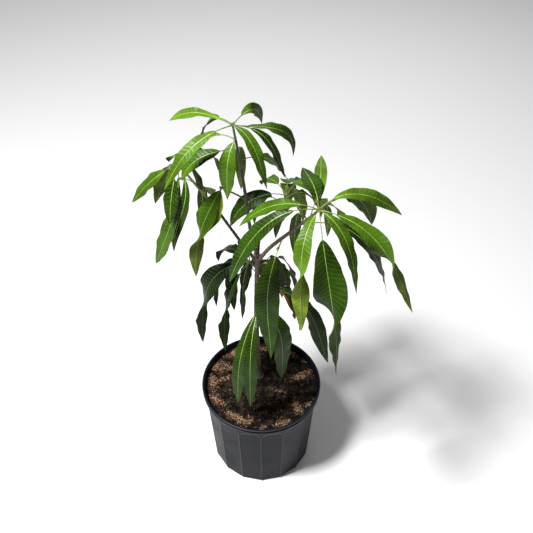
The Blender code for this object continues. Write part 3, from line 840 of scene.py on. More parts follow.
@dataclass(frozen=True)
class Mass:
    """One mass of leaves on one stem, the greens it is dealt, and what fills its hidden side."""

    name: str
    stem: Limb
    leaves: tuple[Leaf, ...]
    tints: tuple[Tint, ...]
    fill: int = 0
    fill_from: float = 20
    fill_sweep: float = 140
    fill_reach: float = 110
    fill_drop: float = 110
    seed: int = 1
    old: bool = False
    # Whether its twig and stalks get painted sunlight.
    sunlit_stem: bool = False

    def filling_leaf(self, rng: random.Random, k: int) -> Leaf:
        """One seeded leaf on the hidden side."""
        turn = (k * GOLDEN_ANGLE + rng.uniform(*FILL_TURN)) % 360 / 360
        return Leaf(azimuth=self.fill_from + self.fill_sweep * turn,
                    reach=self.fill_reach * rng.uniform(*FILL_REACH),
                    drop=self.fill_drop * rng.uniform(*FILL_DROP),
                    rise=rng.uniform(*FILL_RISE), fall=rng.uniform(*FILL_FALL),
                    width=rng.uniform(*FILL_WIDTH), along=rng.uniform(*FILL_ALONG))


TRUNK = limb((TRUNK_FOOT, TRUNK_KNEE, FORK), 6.6, 4.8, 5.5)
LEADER = limb((FORK, (-0.019, 0.0, 0.739), (-0.027, 0.0, 0.826), (-0.034, 0.0, 0.893)), 3.9, 3.0)
LEFT_BOUGH = limb((BELOW_FORK, (-0.040, 0.002, 0.708), (-0.072, 0.006, 0.765), (-0.099, 0.011, 0.808)),
                  3.6, 2.7)
RIGHT_BOUGH = limb((BELOW_FORK, (0.018, -0.015, 0.704), (0.056, -0.045, 0.772), (0.071, -0.055, 0.798)),
                   4.2, 3.5)
BACK_BOUGH = limb((BELOW_FORK, (0.003, 0.030, 0.715), (0.036, 0.066, 0.733)), 3.2, 2.6)
LIMBS = {"trunk": TRUNK, "leader_bough": LEADER, "right_bough": RIGHT_BOUGH, "left_bough": LEFT_BOUGH,
         "back_bough": BACK_BOUGH}

MASSES = (
    Mass("top_leaves",
         limb(((-0.0335, 0.0, 0.888), (-0.041, 0.0, 0.945), (-0.046, 0.0, 0.981)), 3.0, 1.9),
         (Leaf(158, 126, 22, rise=19, fall=42, width=20, petiole=20, roll=-5, twist=-35, widest=0.6),
          Leaf(140, 85, 88, rise=20, fall=85, width=32, roll=-20),
          Leaf(209, 138, 90, rise=2, fall=60, width=25, roll=-25),
          Leaf(314, 86, 92, rise=10, fall=70, width=25, petiole=6),
          Leaf(62, 106, 60, rise=10, fall=85, width=24, twist=100),
          Leaf(33, 130, 118, rise=-24, fall=98, width=24, twist=70),
          Leaf(6, 94, 122, rise=-6, fall=72, width=20, roll=35),
          Leaf(193, 104, 53, rise=8, fall=75, width=28, roll=-25, along=0.45),
          Leaf(245, 40, 109, rise=-20, fall=85, width=34, petiole=8, along=0.7),
          Leaf(40, 119, 104, rise=-8, fall=62, width=30, petiole=45, roll=25, along=0.2),
          Leaf(90, 60, 125, rise=20, fall=88, width=22, along=0.3)),
         (Tint.SUNLIT, Tint.FRESH, Tint.SUNLIT, Tint.FRESH, Tint.FRESH, Tint.FRESH, Tint.DEEP,
          Tint.FRESH, Tint.FRESH, Tint.FRESH, Tint.FRESH),
         fill=1, fill_from=150, fill_sweep=20, fill_reach=95, seed=11),
    Mass("left_leaves",
         limb(((-0.0977, 0.0108, 0.806), (-0.133, 0.022, 0.853), (-0.152, 0.030, 0.880)), 2.7, 1.8),
         (Leaf(178, 98, 100, rise=-38, fall=55, width=33, roll=-20),
          Leaf(160, 60, 117, rise=-50, fall=65, width=36, petiole=20, roll=40),
          Leaf(118, 50, 32, rise=25, fall=60, width=22, petiole=10),
          Leaf(250, 56, 108, rise=-50, fall=80, width=30),
          Leaf(215, 72, 222, rise=-80, fall=70, width=46, swing=60, widest=0.58),
          Leaf(35, 85, 55, rise=30, fall=100, width=32),
          Leaf(350, 50, 62, rise=10, fall=50, width=26),
          Leaf(245, 46, 190, rise=-30, fall=88, width=22, swing=60),
          Leaf(80, 60, 50, rise=10, fall=60, width=22, along=0.15),
          Leaf(100, 54, 150, rise=10, fall=88, width=22, along=0.15)),
         (Tint.FRESH, Tint.FRESH, Tint.FRESH, Tint.DEEP, Tint.FRESH, Tint.DEEP, Tint.DEEP, Tint.DEEP,
          Tint.FRESH, Tint.DEEP),
         fill=2, fill_from=130, fill_sweep=40, fill_reach=90, seed=23),
    Mass("inner_leaves",
         limb(((-0.0265, 0.0, 0.816), (-0.048, 0.0, 0.830), (-0.071, 0.0, 0.843)), 1.9, 1.4),
         (Leaf(208, 66, 203, rise=-55, fall=88, width=44, petiole=6, roll=-25, twist=115, widest=0.36),
          Leaf(225, 36, 84, rise=-60, fall=50, width=34, petiole=6)),
         (Tint.FRESH, Tint.YELLOWISH),
         seed=5),
    Mass("right_leaves",
         limb(((0.0695, -0.054, 0.795), (0.090, -0.064, 0.825), (0.107, -0.070, 0.849)), 3.5, 2.0),
         (Leaf(86, 145, -15, rise=30, fall=5, width=24, petiole=20, widest=0.5),
          Leaf(16, 167, 52, rise=50, fall=50, width=27, roll=20, twist=40),
          Leaf(40, 150, 120, rise=15, width=52, roll=-35),
          Leaf(337, 197, 188, rise=5, fall=66, width=38, roll=10, twist=180, widest=0.38),
          Leaf(316, 101, 145, rise=10, fall=82, width=28, petiole=12, swing=-6, widest=0.3),
          Leaf(289, 130, 318, rise=-25, fall=88, width=63, petiole=56, swing=-15, roll=-15, twist=160,
               widest=0.28),
          Leaf(255, 113, 205, rise=0, fall=85, width=38, petiole=14, swing=-16, twist=150, widest=0.5),
          Leaf(122, 116, 14, rise=60, fall=40, width=26, swing=-8),
          Leaf(173, 147, 56, rise=22, fall=55, width=28, roll=-15),
          Leaf(192, 168, 150, rise=20, fall=75, width=38, petiole=48, roll=-20, widest=0.5),
          Leaf(60, 45, 100, rise=10, fall=88, width=18),
          Leaf(105, 50, 130, rise=20, fall=88, width=24, along=0.3),
          Leaf(0, 182, 186, rise=18, fall=80, width=32, petiole=62, roll=20, along=0.1),
          Leaf(105, 105, -18, rise=60, fall=10, width=34, petiole=16)),
         (Tint.SUNLIT, Tint.SUNLIT, Tint.DEEP, Tint.FRESH, Tint.FRESH, Tint.DEEP, Tint.SUNLIT, Tint.FRESH,
          Tint.FRESH, Tint.DEEP, Tint.DEEP, Tint.DEEP, Tint.DEEP, Tint.DEEP),
         fill=3, fill_from=25, fill_sweep=110, seed=37),
    Mass("back_leaves",
         limb(((0.0352, 0.0655, 0.7325), (0.046, 0.080, 0.742), (0.053, 0.090, 0.752)), 2.6, 1.7),
         (Leaf(190, 117, 66, rise=28, fall=78, width=38, roll=-30),
          Leaf(85, 80, 18, rise=30, fall=35, width=34),
          Leaf(55, 105, 60, width=36),
          Leaf(125, 90, 30, width=34)),
         (Tint.DEEP, Tint.FRESH),
         fill=4, seed=41),
    Mass("hanging_leaf",
         limb(((0.043, -0.0345, 0.747), (0.040, -0.036, 0.738), (0.036, -0.040, 0.728)), 1.6, 1.3),
         (Leaf(255, 54, 275, rise=-60, fall=85, width=52, petiole=22, swing=-25, widest=0.36),),
         (Tint.DEEP,),
         seed=3, sunlit_stem=True),
    Mass("fork_leaves",
         limb(((-0.0065, 0.001, 0.642), (0.003, -0.002, 0.650), (0.010, -0.004, 0.653)), 2.2, 1.6),
         (Leaf(28, 72, 108, rise=30, fall=85, width=36),
          Leaf(60, 50, 122, rise=20, fall=88, width=34)),
         (Tint.BLUISH,),
         seed=7, old=True),
    Mass("lower_left_leaves",
         limb(((-0.0065, 0.002, 0.632), (-0.017, 0.0, 0.645), (-0.024, 0.0, 0.652)), 2.4, 1.7),
         (Leaf(190, 107, 233, rise=0, fall=88, width=52, roll=-35, twist=80, widest=0.32),
          Leaf(205, 62, 253, rise=-50, fall=88, width=40, twist=70),
          Leaf(159, 80, 166, rise=0, fall=85, width=42),
          Leaf(134, 52, 189, rise=0, fall=88, width=36),
          Leaf(232, 26, 152, rise=-60, fall=80, width=16, petiole=50),
          Leaf(182, 40, 96, rise=0, fall=80, width=24)),
         (Tint.BLUISH, Tint.SHADED, Tint.BLUISH),
         fill=2, fill_from=90, fill_sweep=80, seed=53, old=True),
    Mass("lower_front_leaves",
         limb(((-0.0085, 0.009, 0.516), (-0.006, -0.002, 0.524), (-0.004, -0.012, 0.530)), 2.4, 1.7),
         (Leaf(240, 97, 236, rise=-30, fall=88, width=32, petiole=20, widest=0.6),
          Leaf(258, 95, 236, rise=0, fall=88, width=32, petiole=20, widest=0.6),
          Leaf(320, 68, 195, rise=-5, fall=88, width=60, petiole=15)),
         (Tint.DEEP,),
         seed=61, old=True),
    Mass("lower_right_leaves",
         limb(((-0.0075, 0.006, 0.565), (0.003, 0.003, 0.573), (0.012, 0.0, 0.575)), 2.4, 1.7),
         (Leaf(348, 144, 215, rise=5, fall=72, width=40, twist=60),
          Leaf(8, 76, 150, rise=10, fall=88, width=38),
          Leaf(350, 64, 88, rise=20, fall=88, width=36)),
         (Tint.SHADED, Tint.BLUISH, Tint.DRIED, Tint.BLUISH, Tint.SHADED),
         fill=2, fill_from=10, fill_sweep=70, seed=71, old=True),
    Mass("lower_back_leaves",
         limb(((-0.007, 0.005, 0.590), (-0.006, 0.016, 0.600), (-0.005, 0.024, 0.604)), 2.4, 1.7),
         (),
         (Tint.SHADED, Tint.DEEP),
         fill=6, fill_from=45, fill_sweep=100, fill_reach=95,
         fill_drop=150, seed=83, old=True),
)


class Crown:
    """The masses as they grow: which leaves each keeps, and the space that each takes up."""

    def __init__(self) -> None:
        """Grow the leaves that each mass is given, and then those that fill it out."""
        self.limbs = [part.tree() for part in LIMBS.values()]
        self.solids = {mass.name: [mass.stem.tree()] for mass in MASSES}
        self.leaves: dict[str, list[tuple[Leaf, Vector]]] = {mass.name: [] for mass in MASSES}
        for mass in MASSES:
            self.grow_named(mass)
        for mass in MASSES:
            self.grow_filling(mass)

    def is_clear(self, mass: Mass, leaf: Leaf, foot: Vector) -> bool:
        """Whether a leaf keeps off every limb and every other mass."""
        tree = tree_of(*leaf.space(foot, TOUCH_MARGIN))
        others = [solid for name, solids in self.solids.items() if name != mass.name
                  for solid in solids]
        return not any(tree.overlap(other) for other in self.limbs + others)

    def crosses_blade(self, mass: Mass, leaf: Leaf, foot: Vector) -> bool:
        """Whether a leaf's blade, past its stalk, crosses another leaf of its own mass."""
        points, faces = leaf.space(foot, TOUCH_MARGIN)
        blade = tree_of(points, [face for face in faces if min(face) >= STALK_RINGS * LEAF_SIDES])
        return any(blade.overlap(other) for other in self.solids[mass.name][1:])

    def keep(self, mass: Mass, leaf: Leaf, foot: Vector) -> None:
        """Give a mass one more leaf."""
        self.leaves[mass.name].append((leaf, foot))
        self.solids[mass.name].append(tree_of(*leaf.space(foot)))

    def grow_named(self, mass: Mass) -> None:
        """The leaves that a mass is given, less any that would touch its neighbours."""
        for leaf in mass.leaves:
            foot = mass.stem.point_at(leaf.along)
            if self.is_clear(mass, leaf, foot):
                self.keep(mass, leaf, foot)

    def grow_filling(self, mass: Mass) -> None:
        """Seeded leaves on a mass's hidden side, each in a free place of its own."""
        rng = random.Random(mass.seed)
        wanted = mass.fill
        for k in range(mass.fill * FILL_TRIES):
            leaf = mass.filling_leaf(rng, k)
            foot = mass.stem.point_at(leaf.along)
            if wanted and self.is_clear(mass, leaf, foot) and not self.crosses_blade(mass, leaf, foot):
                self.keep(mass, leaf, foot)
                wanted -= 1


@dataclass(frozen=True)
class BladeSkin:
    """A leaf blade as a thin closed shell with a raised rib, a fold and a wavy margin."""

    stations: int = 52
    columns: tuple[float, ...] = (0.10, 0.26, 0.44, 0.62, 0.79, 0.92, 1.0)
    rib_radius: float = 0.75 * MM
    tip_rib_radius: float = 0.22 * MM
    rib_ending: float = 12
    keel: float = 1.0 * MM
    keel_share: float = 0.4
    least_keel: float = 0.1 * MM
    groove: float = 0.35
    thickness: float = 0.55 * MM
    edge_thinning: float = 0.6
    wave: float = 1.4 * MM
    wave_length: float = 41 * MM
    second_wave: float = 0.4
    second_rate: float = 1.7
    waved_width: float = 12 * MM
    cup: float = 0.35
    cup_balance: float = 0.6
    tail: Span = (0.62, 1.0)
    tail_ease: float = 1.5
    tail_curl: float = 26.0

    def frames(self, leaf: Leaf, foot: Vector, shares: np.ndarray, curl: float) \
            -> tuple[np.ndarray, np.ndarray, np.ndarray]:
        """Centre, across and above directions at shares of a leaf's length.

        Args:
            leaf: The leaf.
            foot: Where it springs from.
            shares: Shares of its whole length.
            curl: Degrees that its tail turns past its twist.

        Returns:
            Centres, across and above directions.
        """
        path = leaf.curve(foot)
        total = np.array(lengths_along(path))
        made = turned_frames(path, heading(leaf.azimuth + 90, 0))
        marks = total / total[-1]
        columns = [np.array([tuple(value) for value in column]) for column in (path, *zip(*made))]
        centre, _, side, up = (np.stack([np.interp(shares, marks, column[:, axis]) for axis in range(3)],
                                        axis=1) for column in columns)
        start, end = self.tail
        tail = np.clip((shares - start) / (end - start), 0, 1) ** self.tail_ease
        turn = (np.array([leaf.turn(share) for share in shares]) + math.radians(curl) * tail)[:, None]
        across = side * np.cos(turn) + up * np.sin(turn)
        return centre, across, up * np.cos(turn) - side * np.sin(turn)

    def _profile(self, t: np.ndarray, along: np.ndarray, rib: np.ndarray, wide: np.ndarray,
                 rng: random.Random) -> list[tuple[np.ndarray, ...]]:
        """The columns of both halves, each from the rib out to the margin.

        Args:
            t: Shares of the blade's length.
            along: Distances along it.
            rib: The rib's radius there.
            wide: Half the blade's width there.
            rng: The seeded dice of its mass.

        Returns:
            Offset across, height, thickness and place on the leaf for each column.
        """
        swell = np.minimum(1, wide / self.waved_width) * np.sqrt(np.sin(math.pi * t))
        made = []
        for sign in (1, -1):
            phase = rng.uniform(0, math.tau)
            turn = along / self.wave_length * math.tau
            ripple = np.sin(turn + phase) + self.second_wave * np.sin(turn * self.second_rate + 2 * phase)
            for share in (0.0, *self.columns):
                offset = (rib + (wide - rib) * share) * sign
                cupped = (share - self.cup * share ** 3) / (1 - self.cup * self.cup_balance)
                height = LEAF_FOLD * 2 * wide * cupped + ripple * swell * self.wave * share ** 2
                depth = self.thickness * (1 - self.edge_thinning * share) \
                    + self.keel * self.keel_share * (share == 0) * (1 - t)
                place = np.stack([offset, along, np.full_like(t, share)], axis=1)
                made.append((offset, height, depth, place))
        return made

    @staticmethod
    def _section(upper: list[np.ndarray], crest: np.ndarray, lower: list[np.ndarray],
                 keel: np.ndarray) -> np.ndarray:
        """Values round a blade's section: over the top with its crest, and back below with its keel."""
        half = len(upper) // 2
        section = upper[:half] + [crest] + upper[half:] + lower[:half - 1:-1] + [keel] + lower[half - 1::-1]
        return np.stack(section, axis=1).reshape(-1, 3)

    def add(self, data: MeshData, leaf: Leaf, foot: Vector, slots: tuple[int, int, int],
            rng: random.Random) -> None:
        """Add one blade.

        Args:
            data: The mesh it joins.
            leaf: The leaf.
            foot: Where it springs from.
            slots: Material numbers of upper face, underside and rib.
            rng: The seeded dice of its mass.
        """
        length = lengths_along(leaf.curve(foot))[-1]
        stalk = leaf.petiole * MM / length
        t = (1 - np.cos(np.linspace(0, math.pi, self.stations))) / 4 + np.linspace(0, 0.5, self.stations)
        curl = rng.uniform(-1, 1) * self.tail_curl
        centre, across, above = self.frames(leaf, foot, stalk + (1 - stalk) * t, curl)
        ending = np.minimum(1, (1 - t) * self.rib_ending)
        rib = (self.rib_radius + (self.tip_rib_radius - self.rib_radius) * t) * ending
        spread = np.array([blade_width(value, leaf.widest) for value in t])
        wide = np.maximum(leaf.width * MM / 2 * spread, rib)
        made = self._profile(t, t * (1 - stalk) * length, rib, wide, rng)
        half = len(self.columns) + 1
        order = made[:half - 1:-1] + made[:half]
        top = [centre + across * offset[:, None] + above * height[:, None]
               for offset, height, _, _ in order]
        low = [ring - above * depth[:, None] for ring, (_, _, depth, _) in zip(top, order)]
        groove = (top[half - 1] + top[half]) / 2 - above * (self.groove * rib)[:, None]
        keel = (low[half - 1] + low[half]) / 2 - above * (self.keel * (1 - t) + self.least_keel)[:, None]
        spots = [place for _, _, _, place in order]
        middle = (spots[half - 1] + spots[half]) / 2
        around = 2 * len(order) + 2
        ring_slots = [self._slot(column, half, slots) for column in range(around)]
        faces = closed_faces(self.stations, around, clockwise=True)
        data.take(self._section(top, groove, low, keel), faces,
                  ring_slots * (self.stations - 1) + [slots[2]] * 2,
                  self._section(spots, middle, spots, middle))

    @staticmethod
    def _slot(column: int, half: int, slots: tuple[int, int, int]) -> int:
        """Material number of the faces that follow one column of vertices."""
        top_end = 2 * half
        if column in (half - 1, half) or column - top_end - 1 in (half - 1, half):
            return slots[2]
        return slots[0] if column < top_end else slots[1]


@dataclass(frozen=True)
class TubeSkin:
    """A round limb, twig, stalk or scale as a closed tube with relief."""

    sides: int = 12
    spacing: float = 3 * MM
    first_side: Row = (0.94, 0.34, 0)

    def add(self, data: MeshData, path: Sequence[Vector], radius: Callable[[float, float], float],
            slot: int, relief: Callable[[Vector, float, float], float] | None = None) -> None:
        """Add one tube.

        Args:
            data: The mesh it joins.
            path: Its centre line.
            radius: Its radius from the distance along it and its length.
            slot: Material number.
            relief: Extra radius from a point on it, its distance along and its angle.
        """
        total = lengths_along(path)
        frames = turned_frames(path, Vector(self.first_side))
        points = []
        for centre, distance, (_, side, up) in zip(path, total, frames):
            for step in range(self.sides):
                angle = math.tau * step / self.sides
                out = side * math.cos(angle) + up * math.sin(angle)
                reach = radius(distance, total[-1])
                if relief:
                    reach += relief(centre + out * reach, distance, angle)
                points.append(centre + out * reach)
        faces = closed_faces(len(path), self.sides)
        data.take(np.array([tuple(point) for point in points]), faces, [slot] * len(faces))


@dataclass(frozen=True)
class PointedScale:
    """Radius rule of a pointed scale."""

    root: float
    bluntness: float
    tip: float = 0.1 * MM

    def __call__(self, distance: float, length: float) -> float:
        """Its radius at a distance along it."""
        return self.root * (1 - distance / length) ** self.bluntness + self.tip


@dataclass
class LeafMass:
    """One mass dressed: its blades in one piece, and its twig, stalks and bud in another."""

    mass: Mass
    leaves: list[tuple[Leaf, Vector]]
    blade: BladeSkin = BladeSkin()
    tube: TubeSkin = TubeSkin(sides=10)
    grain: float = 0.25 * MM
    grain_scale: float = 260
    swelling: float = 0.3 * MM
    swelling_spacing: float = 2.1 * MM
    swelling_sharpness: int = 6
    stalk_rings: int = 12
    stalk_overlap: float = 1.12
    stalk_root: float = 0.9 * MM
    stalk_root_length: float = 3.5 * MM
    stalk_width: float = 0.92
    stalk_taper: float = 0.28
    bud_scales: int = 7
    bud_length: float = 9 * MM
    bud_lengths: Span = (0.6, 1.0)
    bud_leans: Span = (0.15, 0.55)
    bud_sink: float = 2 * MM
    bud_spacing: float = 1.5 * MM
    bud_scale: PointedScale = PointedScale(1.2 * MM, 0.7)
    seed_step: int = 100

    def build(self) -> None:
        """Build both pieces."""
        rng = random.Random(self.mass.seed + self.seed_step)
        self._build_blades(rng)
        self._build_stalks(rng)

    def _build_blades(self, rng: random.Random) -> None:
        """All blades, with the greens dealt out in turn."""
        used = sorted(set(self.mass.tints), key=lambda tint: tint.name)
        data = MeshData()
        for k, (leaf, foot) in enumerate(self.leaves):
            first = 3 * used.index(self.mass.tints[k % len(self.mass.tints)])
            self.blade.add(data, leaf, foot, (first, first + 1, first + 2), rng)
        data.make(f"{self.mass.name}_blades", [finish for tint in used for finish in tint.finishes()],
                  [self.mass.name])

    def _build_stalks(self, rng: random.Random) -> None:
        """Twig, leaf stalks, and the resting bud with its small scales."""
        data = MeshData()
        stem = self.mass.stem
        self.tube.add(data, smooth_path(stem.points, self.tube.spacing), stem.radius_at, 0,
                      self._twig_relief)
        for leaf, foot in self.leaves:
            self._add_stalk(data, leaf, foot)
        self._add_bud(data, stem, rng)
        stalk = STALK_DARK if self.mass.old else STALK_GREEN
        # A mass with painted sunlight on its stem gets the bright lime on its twig and stalks.
        twig, stalk = (SUNLIT_STALK, SUNLIT_STALK) if self.mass.sunlit_stem else (TWIG_GREEN, stalk)
        data.make(f"{self.mass.name}_stalks", (twig, stalk, BUD_GREEN), [self.mass.name])

    def _twig_relief(self, point: Vector, distance: float, angle: float) -> float:
        """Fine grain, and low swellings where leaves sprang from the twig."""
        swelling = max(0.0, math.sin(distance / self.swelling_spacing)) ** self.swelling_sharpness
        return self.grain * noise.noise(point * self.grain_scale) + self.swelling * swelling

    def _stalk_radius(self, distance: float, length: float) -> float:
        """Swollen root, slim neck, and a taper into the rib."""
        root = self.stalk_root * math.exp(-distance / self.stalk_root_length)
        return PETIOLE_RADIUS * (self.stalk_width - self.stalk_taper * distance / length) + root

    def _add_stalk(self, data: MeshData, leaf: Leaf, foot: Vector) -> None:
        """One stalk, swollen where it leaves the twig, that runs a little way into its blade."""
        end = leaf.petiole * MM * self.stalk_overlap / lengths_along(leaf.curve(foot))[-1]
        centre = self.blade.frames(leaf, foot, np.linspace(0, end, self.stalk_rings), 0.0)[0]
        self.tube.add(data, [Vector(point) for point in centre], self._stalk_radius, 1)

    def _add_bud(self, data: MeshData, stem: Limb, rng: random.Random) -> None:
        """Small pointed scales round the twig's tip."""
        tip = stem.points[-1]
        axis = (tip - stem.points[-2]).normalized()
        around = axis.orthogonal().normalized()
        for k in range(self.bud_scales):
            out = Matrix.Rotation(math.radians(GOLDEN_ANGLE * k), 3, axis) @ around
            length = self.bud_length * rng.uniform(*self.bud_lengths)
            lean = rng.uniform(*self.bud_leans)
            foot = tip - axis * self.bud_sink + out * stem.tip_radius / 2
            path = [foot, foot + (axis + out * lean).normalized() * length / 2,
                    foot + (axis + out * lean / 2).normalized() * length]
            self.tube.add(data, smooth_path(path, self.bud_spacing), self.bud_scale, 2)


@dataclass
class WoodySkin:
    """Trunk and boughs in bark: ridges along them, leaf scars and a swelling at each bough's foot."""

    trunk_tube: TubeSkin = TubeSkin(sides=28, spacing=1.8 * MM)
    bough_tube: TubeSkin = TubeSkin(sides=18, spacing=1.8 * MM)
    ridge: float = 0.45 * MM
    ridge_scale: Row = (420, 420, 70)
    ridge_octaves: tuple[float, float, int] = (0.9, 2.1, 3)
    sunk: float = 0.35
    scar: float = 0.7 * MM
    scar_spacing: float = 17 * MM
    scar_height: float = 1.6 * MM
    scar_sharpness: int = 3
    collar: float = 1.6 * MM
    collar_length: float = 9 * MM

    def build(self) -> None:
        """Build the trunk and each bough."""
        self._build_limb("trunk", self.trunk_tube, GREY_BARK, 0.0)
        for name, finish, slot in (("leader_bough", GREEN_BARK, "green_bark"),
                                   ("right_bough", GREY_BARK, "woody_bark"),
                                   ("left_bough", GREEN_BARK, "green_bark"),
                                   ("back_bough", GREEN_BARK, "green_bark")):
            self._build_limb(name, self.bough_tube, finish, self.collar)

    def _build_limb(self, name: str, tube: TubeSkin, finish: BarkFinish, collar: float) -> None:
        """One limb with its relief.

        Args:
            name: The limb, and the node that it stands in for.
            tube: How finely it is made.
            finish: Its bark.
            collar: Swelling at its foot.
        """
        course = LIMBS[name]

        def radius(distance: float, length: float) -> float:
            """Taper, with a swelling at the foot of a bough."""
            return course.radius_at(distance, length) + collar * math.exp(-distance / self.collar_length)

        data = MeshData()
        tube.add(data, smooth_path(course.points, tube.spacing), radius, 0, self._relief)
        data.make(f"{name}_skin", [finish], [name])

    def _relief(self, point: Vector, distance: float, angle: float) -> float:
        """Ridges along the limb, and crescent leaf scars at a regular spacing."""
        along = Vector(part * scale for part, scale in zip(point, self.ridge_scale))
        ridges = self.ridge * noise.fractal(along, *self.ridge_octaves)
        turn = distance / self.scar_spacing
        ring = round(turn)
        facing = max(0.0, math.cos(angle - math.radians(GOLDEN_ANGLE * ring))) ** self.scar_sharpness
        near = math.exp(-((turn - ring) * self.scar_spacing / self.scar_height) ** 2)
        return ridges + self.scar * near * facing - self.sunk * self.ridge


@dataclass
class BudScales:
    """Dried pointed scales left round the fork."""

    count: int = 16
    ring_radius: float = 4.6 * MM
    length: float = 9 * MM
    lengths: Span = (0.6, 1.1)
    pitches: Span = (5, 60)
    heights: Span = (-9, 5)
    upward: float = 0.5
    reach: float = 0.8
    spacing: float = 1.6 * MM
    tube: TubeSkin = TubeSkin(sides=6)
    scale: PointedScale = PointedScale(1.3 * MM, 0.8)
    seed: int = 19

    def build(self) -> None:
        """Build them as one piece."""
        rng = random.Random(self.seed)
        data = MeshData()
        for k in range(self.count):
            out = heading(GOLDEN_ANGLE * k, rng.uniform(*self.pitches))
            foot = FORK + Vector((out.x, out.y, 0)) * self.ring_radius \
                + Vector((0, 0, rng.uniform(*self.heights) * MM))
            length = self.length * rng.uniform(*self.lengths)
            path = [foot, foot + out * length / 2,
                    foot + (out + Vector((0, 0, self.upward))) * length * self.reach]
            self.tube.add(data, smooth_path(path, self.spacing), self.scale, 0)
        data.make("fork_bud_scales", [DRY_SCALE], [])


@dataclass(frozen=True)
class Bead:
    """One round bead of the rim: how far in and up its middle lies, its radius and its arc in degrees."""

    inset: float
    lift: float
    size: float
    start: float
    end: float
    rows: int = 9


